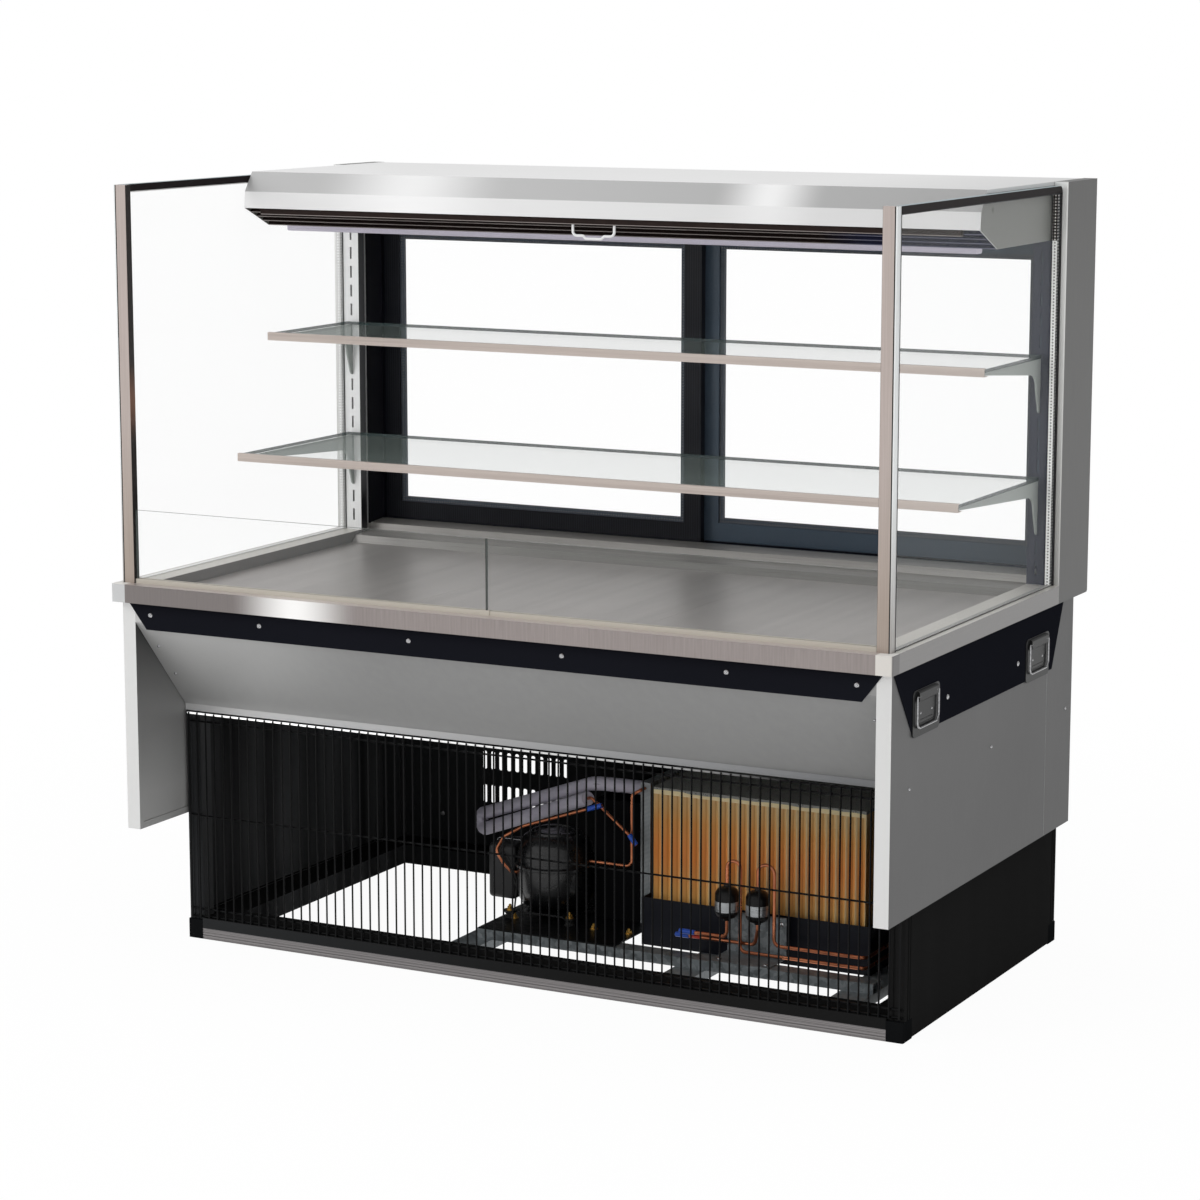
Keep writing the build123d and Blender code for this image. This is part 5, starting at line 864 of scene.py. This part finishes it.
curtain_weave, place = material("curtain_weave", 0.75)
weave = place.x.wave(WARP_PITCH) * place.z.wave(WEFT_PITCH) * 0.5 + 0.5
soil = place.noise(9, 3)
pin = place.x.maths("ABSOLUTE") > PIN_START
cloth_tint = (weave * 0.4 + soil * 0.3).mix("c9cbce", "a9abb0")
feed(curtain_weave, pin.mix(cloth_tint, "6e6f6b"))
bumped(curtain_weave, weave, 0.3, 0.0003)
dress(curtain_weave, "curtain_roller")

WEB_ROWS = 24
WEB_COLUMNS = 60
WEB_HALF = 0.7
WEB_THICKNESS = 0.0004
RIPPLE = 0.0006


def web_sheet(work, low, high):
    """The free stretch of the blind, from the bar up to the roller, with soft ripples across it."""
    grid = []
    for r in range(WEB_ROWS + 1):
        share = r / WEB_ROWS
        middle = low.lerp(high, share)
        line = []
        for c in range(WEB_COLUMNS + 1):
            x = WEB_HALF * (2 * c / WEB_COLUMNS - 1)
            ripple = RIPPLE * math.sin(c * 0.9) * math.sin(math.pi * share)
            line.append(work.verts.new(middle + Vector((x, ripple * -0.8, ripple * 0.6))))
        grid.append(line)
    for r in range(WEB_ROWS):
        for c in range(WEB_COLUMNS):
            work.faces.new((grid[r][c], grid[r][c + 1], grid[r + 1][c + 1], grid[r + 1][c]))


low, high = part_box("curtain_web")
web_start = Vector((0, low.y + WEB_THICKNESS, low.z + WEB_THICKNESS))
web_end = Vector((0, high.y - WEB_THICKNESS, high.z - WEB_THICKNESS))
web = build(web_sheet, web_start, web_end)
web.materials.append(curtain_weave)
web.shade_smooth()
cloth = put("curtain_cloth", web)
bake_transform(cloth)
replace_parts(cloth, "curtain_web")
(web_end - web_start).length

GRIP_WIRE = 0.0025
GRIP_HALF = 0.0415
GRIP_DIP_HALF = 0.016
GRIP_DIP = 0.005
GRIP_FALL = 0.031
GRIP_BENDS = [0.008] + [0.003] * 4 + [0.008]
BAR_HEIGHT = 0.011
BAR_LIP = 0.0016
BAR_ROUND = 0.0018


def eased(thing, radius, steps):
    """Rounds the edges of a piece."""
    edges = thing.modifiers.new("edges", "BEVEL")
    edges.width = radius
    edges.segments = steps


low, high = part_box("curtain_bar")
bar_foot = high.z - BAR_HEIGHT
made, place = material("bar_brown", 0.5, gloss=0.1)
cloud = place.noise(60, 3)
lip = place.z < bar_foot + BAR_LIP
feed(made, lip.mix(cloud.mix("1b1311", "2b211e"), "8e8683"))
bumped(made, cloud, 0.1, 0.0003)
rail_strip = build(brick, (low.x, low.y, bar_foot), high)
rail = link("curtain_rail", rail_strip, made, "curtain_pull", 0)
eased(rail, BAR_ROUND, 3)

y = (low.y + high.y) / 2
top = high.z - BAR_HEIGHT / 2
level = high.z - GRIP_FALL
route = [(-GRIP_HALF, y, top), (-GRIP_HALF, y, level), (-GRIP_DIP_HALF - GRIP_DIP, y, level)]
route.append((-GRIP_DIP_HALF, y, level - GRIP_DIP))
route += [(-p[0], p[1], p[2]) for p in route[::-1]]
grip_wire = swept([rounded(route, GRIP_BENDS)], GRIP_WIRE, 2)
grip_white = powder_coat("grip_white", "e6e6e7", "f2f2f2", 0.3, 1500, 0.03)
grip = link("curtain_grip", grip_wire, grip_white, "curtain_pull")
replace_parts(grip, "curtain_bar")


# ---- Rear doors and their frame ----
# Two sliding doors run in the grooves of a dark frame. Each holds two panes, sealed over a punched
# spacer, in anodised sections; the left door's are black and ribbed, the right's slate.
DOOR_RIB = 0.005
DOOR_BAR = 0.0168  # the spacer's width in the doors

made, place = material("frame_navy", 0.3, gloss=0.2)
cloud = place.noise(1400, 1)
# Painted light: the frame's right end is painted a lighter navy.
right = place.x.between(0.5, 0.68)
black = cloud.mix("07070c", "0d0e18")
feed(made, right.mix(black, "282b40"))
bumped(made, cloud, 0.04)
dress(made, "door_frame")

made, place = material("door_coat", 0.28, gloss=0.2)
cloud = place.noise(1400, 1)
ribs = place.x.wave(DOOR_RIB).between(0.3, 1.0)
dark = (ribs * 0.6).mix("0a0b10", "22242d")
feed(made, (cloud * 0.15).mix(dark, "2c3038"))
bumped(made, ribs, 0.3, 0.0008)
dress(made, "rear_door_left")
dress(powder_coat("door_right_coat", "3b4754", "4b5865", 0.28, 1400, 0.04, 0.3), "rear_door_right")
door_clear = sealed_glass("door_glass_clear", "Y")
door_bar = spacer_metal("door_spacer_metal", "4a505a", "15171b", "4a505a")
for side in ("left", "right"):
    node, body = f"rear_door_glass_{side}", f"door_{side}"
    unit = [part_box(node)]
    panes = link(f"door_panes_{side}", build(bricks, unit), door_clear, body, 0)
    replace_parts(panes, node)
    bars = build(spacer_ring, unit, "XZ", [DOOR_BAR] * 4)
    link(f"door_spacers_{side}", bars, door_bar, body, 0)


# ---- Shelves ----
# Toughened glass lies on pressed steel arms that hook into slotted standards. A folded steel
# strip covers each front edge.
made, place = material("standard_steel", 0.4, 0.1)
grain = place.stretched(ALONG_Z).noise(1)
# Painted light: the right standards are painted navy as a painted reflection, and the left ones' faces
# turned to the right are painted near black as painted shade.
right = place.x > 0.0
left = (place.facing("X") > 0.5).mix(grain.mix("e3e4e4", "f6f6f6"), "121318")
feed(made, right.mix(left, grain.mix("1c1f30", "2a2e42")), Roughness=0.34 + grain * 0.12)
dress(made, "shelf_standards")
dress(powder_coat("arm_coat", "8d9390", "a9aeab", 0.38, 1400, 0.06), "shelf_brackets")
dress(brushed("shelf_trim_steel", "a89c95", "d6cac2", ALONG_X, 0.34, 0.4), "shelf_trims")
dress(glass("shelf_glass_clear", "12282b", "c3d3cd", "Z", 0.10), "shelf_glass")


# ---- Frame of the condensing unit ----
# Galvanised rails lie between the base channels and carry a black plate and the drier bracket.
# Brass nuts on studs hold the plate down.
PLATE_LEVEL = 0.061
PLATE_END = 0.1125

made, place = material("galvanised_sheet", 0.42, 0.45)
spangle = place.cells(130, "Color").x
scuff = place.noise(24, 3)
steel = (spangle * 0.6 + scuff * 0.4).mix("5d6366", "989ea1")
height = place.z
is_plate = (height > PLATE_LEVEL - 0.0026) * (height < PLATE_LEVEL + 0.0005)
is_plate = is_plate * (place.x < PLATE_END)
feed(made, is_plate.mix(steel, "0e0f11"), Roughness=0.34 + spangle * 0.16)
dress(made, "unit_base")

brass, place = material("brass_nut", 0.3, 0.9)
haze = place.noise(400)
feed(brass, haze.mix("b98a3e", "e2bd6c"), Roughness=0.22 + haze * 0.2)

UP = (0, 0, 1)
NUT_RADIUS = 0.0055
NUT_HEIGHT = 0.005
STUD_RADIUS = 0.0028
WASHER_RADIUS = 0.0075
WASHER_SHEET = 0.0012
PLATE_NUTS = ((-137, 368), (28, 368), (28, 520), (100, 368), (-137, 712), (60, 712))


def nuts(work, spots):
    """Hexagon nuts on washers, each with the rounded end of its stud above it."""
    top = WASHER_SHEET + NUT_HEIGHT
    washer = [(0, WASHER_SHEET), (WASHER_RADIUS, WASHER_SHEET), (WASHER_RADIUS, 0)]
    hexagon = [(STUD_RADIUS, top), (NUT_RADIUS * 0.86, top)]
    hexagon += [(NUT_RADIUS, top - 0.0007), (NUT_RADIUS, WASHER_SHEET)]
    stud = [(0, top + 0.004), (STUD_RADIUS * 0.7, top + 0.004)]
    stud += [(STUD_RADIUS, top + 0.003), (STUD_RADIUS, top)]
    for outline, sides in ((washer, 20), (hexagon, 6), (stud, 12)):
        turned(work, outline, spots, sides)


spots = [((x / 1000, setback(y), PLATE_LEVEL), UP) for x, y in PLATE_NUTS]
link("plate_nuts", build(nuts, spots), brass, smooth=25)


# ---- Compressor ----
# A deep-drawn shell in two halves with a welded seam, dipped in glossy black. It stands on rubber
# grommets and carries a clipped terminal cover on its left side.
SHELL_AT = Vector((-0.084, setback(430), 0))
SHELL_LOW = 0.076
SHELL_TOP = 0.222
SEAM_LEVEL = 0.1563
SHELL_OUTLINE = [
    (0, SHELL_LOW + 0.001), (0.032, SHELL_LOW), (0.050, SHELL_LOW + 0.003), (0.0625, SHELL_LOW + 0.010),
    (0.0695, SHELL_LOW + 0.022), (0.072, SHELL_LOW + 0.038), (0.072, SEAM_LEVEL - 0.002),
    (0.0735, SEAM_LEVEL - 0.0005), (0.076, SEAM_LEVEL), (0.0762, SEAM_LEVEL + 0.004),
    (0.0735, SEAM_LEVEL + 0.005), (0.0712, SEAM_LEVEL + 0.008), (0.0705, SEAM_LEVEL + 0.022),
    (0.067, 0.197), (0.059, 0.209), (0.050, 0.2155), (0.0455, 0.2172), (0.044, 0.2205),
    (0.041, SHELL_TOP - 0.0003), (0.037, 0.2215), (0.0355, 0.2185), (0.020, 0.2172), (0, 0.2168),
]

shell_paint, place = material("shell_paint", 0.22, Coat_Weight=0.25)
runs = place.stretched((14, 14, 3)).noise(2, 3)
dust = place.noise(60, 4)
feed(shell_paint, (dust * 0.5 + runs * 0.3).mix("040405", "111214"), Roughness=0.2 + dust * 0.16)
bumped(shell_paint, runs, 0.12, 0.001)
shell = build(lathe, SHELL_OUTLINE, SHELL_AT, UP, 96)
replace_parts(link("compressor_shell", shell, shell_paint, smooth=35), "compressor")

FOOT_HALF = 0.0622
FOOT_LOW, FOOT_TOP = 0.073, 0.076
FOOT_RADIUS = 0.013
FOOT_DISC = [(0, 0.003), (FOOT_RADIUS - 0.0006, 0.003), (FOOT_RADIUS, 0.0024), (FOOT_RADIUS, 0), (0, 0)]
GROMMET = [
    (0, 0.012), (0.0065, 0.012), (0.009, 0.0112), (0.0098, 0.0095), (0.0078, 0.008), (0.0078, 0.0042),
    (0.0098, 0.0028), (0.0098, 0.0004), (0, 0.0002),
]


def at_feet(level):
    """The four corners of the foot plate at that level, each pointing up."""
    turns = [(sx * FOOT_HALF, sy * FOOT_HALF, level) for sx in (-1, 1) for sy in (-1, 1)]
    return [(SHELL_AT + Vector(turn), UP) for turn in turns]


def compressor_feet(work):
    reach = Vector((FOOT_HALF, FOOT_HALF, 0))
    low, high = SHELL_AT - reach, SHELL_AT + reach
    brick(work, (low.x, low.y, FOOT_LOW), (high.x, high.y, FOOT_TOP))
    turned(work, FOOT_DISC, at_feet(FOOT_LOW), 28)


link("compressor_feet", build(compressor_feet), shell_paint, smooth=25)
rubber = powder_coat("grommet_rubber", "0b0b0b", "191919", 0.75, 700, 0.25)
link("compressor_grommets", build(turned, GROMMET, at_feet(PLATE_LEVEL), 28), rubber)
link("foot_nuts", build(nuts, at_feet(FOOT_TOP)), brass, smooth=25)

COVER_LOW = Vector((-0.207, setback(393), 0.087))
COVER_HIGH = Vector((-0.1495, setback(467), 0.190))
LID_DEPTH = 0.022
LID_LINE = 0.0008  # how far the lid's parting line stands out
LID_LINE_HEIGHT = 0.003
BOSS_HALF = 0.013
BOSS_LOW, BOSS_TOP = 0.112, 0.152
COVER_ROUND, LID_ROUND = 0.008, 0.0012
CLIP_WIRE = 0.0011
CLIP_LOW, CLIP_TOP = 0.100, 0.192
LEAD_WIRE = 0.0014

cover_black = powder_coat("cover_moulding", "0c0c0d", "1d1d1f", 0.45, 1100, 0.12)
cover = link("terminal_cover", build(brick, COVER_LOW, COVER_HIGH), cover_black)
eased(cover, COVER_ROUND, 5)
# The parting line round the lid, and the raised boss that the clip presses on.
face, near, far = COVER_LOW.x, COVER_LOW.y, COVER_HIGH.y
lid = COVER_HIGH.z - LID_DEPTH
clip_y = (near + far) / 2
lid_parts = [
    ((face - LID_LINE, near - LID_LINE, lid), (COVER_HIGH.x, far + LID_LINE, lid + LID_LINE_HEIGHT)),
    ((face - 0.001, clip_y - BOSS_HALF, BOSS_LOW), (face + 0.004, clip_y + BOSS_HALF, BOSS_TOP)),
]
parts = link("terminal_cover_lid", build(bricks, lid_parts), cover_black)
eased(parts, LID_ROUND, 2)
clip = [(face - 0.0012, clip_y, CLIP_LOW), (face - 0.0022, clip_y, CLIP_TOP)]
clip.append((COVER_HIGH.x - 0.004, clip_y, CLIP_TOP))
clip_steel = chrome("clip_steel", "b9b9bb")
link("cover_clip", swept([rounded(clip, [0.008])], CLIP_WIRE), clip_steel)
for name, shift in (("cover_lead_a", -0.010), ("cover_lead_b", 0.004)):
    lead = [(face + 0.022, near + 0.004, 0.176 + shift), (-0.178, setback(384), 0.186 + shift)]
    lead += [(-0.150, setback(372), 0.166 + shift), (-0.132, setback(369), 0.128 + shift)]
    lead.append((-0.137, setback(366), 0.0685))
    link(name, swept([rounded(lead, [0.012, 0.02, 0.02])], LEAD_WIRE), rubber)


# ---- Condenser, shroud, fan and brush ----
# A tube-and-fin block between galvanised tube sheets. The black shroud behind it carries the fan,
# and a brush on a lead screw sweeps the fins clean.
FIN_PITCH = 0.0024166
THREAD_PITCH = 0.008

made, place = material("fin_aluminium", 0.45, 0.6)
fins = place.z.wave(FIN_PITCH) * 0.5 + 0.5
dust = place.noise(40, 3)
feed(made, (fins * 0.5 + dust * 0.3).mix("5d6163", "b3b8ba"))
bumped(made, fins, 0.4, 0.0006)
dress(made, "condenser_coil", "evaporator_coil")
dress(powder_coat("shroud_coat", "0b0b0c", "141416", 0.45, gloss=0.0), "fan_shroud")
dress(powder_coat("motor_paint", "0d0e10", "1d1f22", 0.36, 1200, 0.1), "fan_motors")
blade_metal = brushed("blade_metal", "8e9294", "b6babb", (60, 60, 60), 0.4, 0.6)
dress(blade_metal, "condenser_fan", "evaporator_fan_left", "evaporator_fan_right")
dress(powder_coat("brush_black", "0a0a0a", "1f1f1f", 0.6, 500, 0.5), "brush_carriage")

made, place = material("lead_screw_steel", 0.3, 0.85)
thread = place.z.wave(THREAD_PITCH) * 0.5 + 0.5
feed(made, thread.mix("5a5c5f", "c5c8ca"))
bumped(made, thread, 0.6, 0.001)
dress(made, "brush_screw")


# ---- Evaporation tray and wick ----
# A navy-black tray holds the meltwater. The pleated wick stands in it: waxed paper, browner where
# it stays damp, with painted highlights on the folds, painted shade in the valleys and a perforated
# strip at its top.
dress(powder_coat("tray_navy", "111217", "191b23", 0.4, 1000, 0.1, 0.15), "condensate_tray")

WICK_SETBACK = 402
FOLD_DEPTH = 0.009
STRIP_LEVEL = 0.331

made, place = material("wick_paper", 0.8)
depth = (place.y - setback(WICK_SETBACK)).between(0.0, FOLD_DEPTH)
# Painted light: a painted highlight along each crest of the pleats, and painted shade down each valley.
fold = 1 - depth.between(0.0, 0.32)
valley_shade = depth.between(0.72, 1.0)
stripes = place.stretched((320, 1, 2)).noise(1)
damp = place.stretched((14, 1, 5)).noise(1)
rise = place.z
brown = damp.mix("d19a50", "e2b268")
warm = (rise.between(0.13, 0.2) * (1 - rise.between(0.22, 0.3))).mix(brown, "df8f44")
warm = (rise.between(0.27, STRIP_LEVEL) * 0.7).mix(warm, "dccba2")
paper = (valley_shade * 0.5).mix(warm, "9c6c33")
paper = (fold * 0.85).mix(paper, "ecdcb0")
paper = ((stripes - 0.35) * 0.5).mix(paper, "e0c590")
holes = place.cells(210) < 0.22
strip = holes.mix("8f8f8a", "343535")
feed(made, (rise + damp * 0.012 > STRIP_LEVEL).mix(paper, strip))
bumped(made, stripes, 0.25, 0.0006)
dress(made, "wick_pack")


# ---- Driers, copper lines and the lagged line ----
# Bare drawn copper, tarnished in patches. The service stubs end in blue sleeves. The driers are
# black cans held by bright clamp bands, and the lagging is a soft grey tube with a glued seam.
copper, place = material("drawn_copper", 0.26, 0.95)
tarnish = place.noise(34, 4)
bands = place.noise(8)
tarnished = (tarnish * 0.55 + bands * 0.45).between(0.3, 0.75)
feed(copper, tarnished.mix("d98a63", "7a4533"), Roughness=0.18 + tarnish * 0.25)

PIPE = 0.0032


def run(route):
    return [(x / 1000, setback(y), z / 1000) for x, y, z in route]


DRIER_Y = 336.2
LEFT_CAN = 311
RIGHT_CAN = 371
LOOP_BACK = DRIER_Y + 130
REAR_Y = DRIER_Y + 9.6
ROUTES = {  # corners, then the bends between them, in millimetres
    "loop": (
        (LEFT_CAN, DRIER_Y, 186), (LEFT_CAN, DRIER_Y, 230), (337, DRIER_Y, 230), (337, DRIER_Y, 67),
        (579, DRIER_Y, 67), (579, LOOP_BACK, 67), (579, LOOP_BACK, 86), (579, DRIER_Y, 86),
        (403, DRIER_Y, 86), (403, DRIER_Y, 230), (RIGHT_CAN, DRIER_Y, 230), (RIGHT_CAN, DRIER_Y, 186),
        [12.9, 12.9, 12, 12, 9.4, 9.4, 12, 12, 15.9, 15.9],
    ),
    "front_stub": ((LEFT_CAN, DRIER_Y, 121), (LEFT_CAN, DRIER_Y, 90), (217, DRIER_Y, 90), [12]),
    "rear_stub": (
        (RIGHT_CAN, DRIER_Y, 121), (RIGHT_CAN, DRIER_Y, 109), (361.4, REAR_Y, 80), (205, REAR_Y, 80),
        [12, 12],
    ),
    "process": (
        (-144, 390, 142), (-151.5, 385, 142), (-170, 385, 158), (-185, 385, 180), (-168, 385, 208),
        (-125, 385, 233), (36, 385, 289), [12] * 5,
    ),
    "suction": ((-22, 440, 284), (-11.14, 432.43, 288.57), (76, 418, 230), (90, 416, 214), [12, 12]),
    "discharge": (
        (-12, 430, 169), (74, 430, 169), (74, 430, 303), (92, 430, 314), (92, 445, 314), [12, 12, 6],
    ),
}
paths = {}
for name, (*corners, bends) in ROUTES.items():
    paths[name] = rounded(run(corners), [bend / 1000 for bend in bends])
pipes = link("copper_lines", swept(list(paths.values()), PIPE, 3), copper)
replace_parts(pipes, "copper_pipes")


def moulded(name, colour, lighter, rough=0.4):
    """A smooth moulding with a faint cloudiness."""
    made, place = material(name, rough)
    cloud = place.noise(160, 3)
    feed(made, cloud.mix(colour, lighter), Roughness=rough - 0.08 + cloud * 0.16)
    bumped(made, cloud, 0.1, 0.0003)
    return made


def back_from_end(path, distance):
    """The place that far back along a pipe from its end, and the way back."""
    end, before = Vector(path[-1]), Vector(path[-2])
    way = (before - end).normalized()
    return end + way * distance, way


SLEEVE_RADIUS = 0.0046
SLEEVES = (("front_stub", 0.030), ("rear_stub", 0.026), ("process", 0.032), ("suction", 0.022))
BAND_START, BAND_LENGTH = 0.030, 0.022
BAND_RADIUS = PIPE * 1.12

blue = moulded("sleeve_blue", "17409c", "2c5cc4")
for name, length in SLEEVES:
    outline = [(0, -0.0006), (SLEEVE_RADIUS * 0.8, -0.0006), (SLEEVE_RADIUS, 0.0006)]
    outline += [(SLEEVE_RADIUS * 1.04, length * 0.5), (SLEEVE_RADIUS, length), (PIPE, length + 0.0004)]
    tube = build(lathe, outline, *back_from_end(paths[name], 0.0008), 20)
    link(name + "_sleeve", tube, blue)
red = moulded("paint_band_red", "b02a1c", "d2452c")
outline = [(PIPE, 0), (BAND_RADIUS, 0.001), (BAND_RADIUS, BAND_LENGTH - 0.001), (PIPE, BAND_LENGTH)]
ring = build(lathe, outline, *back_from_end(paths["rear_stub"], BAND_START), 16)
link("rear_stub_band", ring, red)

DRIER_RADIUS = 0.0215
CAN_LOW = 0.121
CAN_LENGTH = 0.065
CLAMP_LEVEL = 0.139
CAN_END = [
    (0, 0), (0.006, 0), (0.0065, 0.003), (0.012, 0.0045), (0.0175, 0.008), (0.0205, 0.013),
    (DRIER_RADIUS, 0.0155), (DRIER_RADIUS, 0.018),
]
CLAMP = [
    (DRIER_RADIUS - 0.0002, 0), (DRIER_RADIUS + 0.0002, 0), (DRIER_RADIUS + 0.0003, 0.001),
    (DRIER_RADIUS + 0.0003, 0.018), (DRIER_RADIUS - 0.0002, 0.019),
]


def at_cans(level):
    return [((x / 1000, setback(DRIER_Y), level), UP) for x in (LEFT_CAN, RIGHT_CAN)]


can = CAN_END + [(r, CAN_LENGTH - h) for r, h in CAN_END[::-1]]
can_black = powder_coat("can_black", "060606", "131313", 0.3, 900, 0.08, 0.25)
cans = link("drier_cans", build(turned, can, at_cans(CAN_LOW), 48), can_black)
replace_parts(cans, "filter_driers")
band_steel = brushed("band_steel", "85888a", "c4c7c9", (30, 30, 900), 0.3, 0.8)
link("drier_bands", build(turned, CLAMP, at_cans(CLAMP_LEVEL), 48), band_steel)

BRACKET_HEAD = [(0, 0.0022), (0.002, 0.0021), (0.0038, 0.0014), (0.0044, 0.0003), (0.0044, 0)]
BRACKET_SCREWS = (((314, 300, 60), UP), ((404, 300, 60), UP), ((408, 358, 120), (0, -1, 0)))

spots = [(run([place])[0], way) for place, way in BRACKET_SCREWS]
bracket_zinc = chrome("bracket_zinc", "b5b7b9")
link("bracket_screws", build(turned, BRACKET_HEAD, spots, 16), bracket_zinc)

HOSE = [(81.5, 480, 306), (-20, 462, 309), (-395, 700, 159), (-395, 700, 127), (-22, 440, 284)]
HOSE_RADIUS = 0.013
SEAM_RADIUS = 0.0007
SEAM_SIDES = ((-0.62, 0.76), (-0.97, 0.1))  # the way out to each seam, along Y and Z
SEAM_POINTS = 16  # how much of the line the seams follow

made, place = material("lagging_grey", 0.65)
pores = place.noise(700)
soil = place.noise(14, 3)
feed(made, (soil * 0.7 + pores * 0.3).mix("aba6b6", "d3cfda"))
bumped(made, pores, 0.4, 0.0005)
lagging_path = rounded(run(HOSE), [0.039, 0.015, 0.015], 12)
lagging = link("lagged_line", swept([lagging_path], HOSE_RADIUS, 5), made)
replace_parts(lagging, "insulated_line")
seams = []
for across, up in SEAM_SIDES:
    shift = Vector((0, across, up)) * (HOSE_RADIUS - 0.0004)
    seams.append([Vector(p) + shift for p in lagging_path[:SEAM_POINTS]])
seam_dark = powder_coat("lagging_seam", "24232a", "3a3942", 0.7)
link("lagging_seams", swept(seams, SEAM_RADIUS), seam_dark)


# ---- Rear controls ----
# A flat moulded box on the back of the tank: a dark display, a membrane with four keys, a lit
# rocker for the lamp, and a gland for the lead low down.
SCREEN_LOW, SCREEN_HIGH = (0.5212, 0.5465), (0.6088, 0.5835)  # X and Z
SCREEN_SETBACK = 908.5
KEY_MIDDLES = (0.5295, 0.552, 0.5745, 0.597)
KEY_HALF = 0.007
KEY_LOW, KEY_TOP = 0.5285, 0.5385
KEY_BACK, KEY_FACE = 910.9, 911.5  # setbacks
KEY_ROUND = 0.0002

made, place = material("control_moulding", 0.42)
cloud = place.noise(900, 1)
x, z = place.x, place.z
screen = (x > SCREEN_LOW[0]) * (x < SCREEN_HIGH[0]) * (z > SCREEN_LOW[1]) * (z < SCREEN_HIGH[1])
screen = screen * (place.y > setback(SCREEN_SETBACK))
dull = cloud.mix("151618", "232528")
feed(made, screen.mix(dull, "05070a"), Roughness=0.42 - screen * 0.34)
bumped(made, cloud, 0.12)
dress(made, "control_box")

keys = [
    ((x - KEY_HALF, setback(KEY_BACK), KEY_LOW), (x + KEY_HALF, setback(KEY_FACE), KEY_TOP))
    for x in KEY_MIDDLES
]
key_grey = moulded("key_grey", "4e5359", "676c72")
eased(link("membrane_keys", build(bricks, keys), key_grey), KEY_ROUND, 1)
dress(moulded("rocker_green", "12351f", "1f5a33", 0.3), "light_switch")
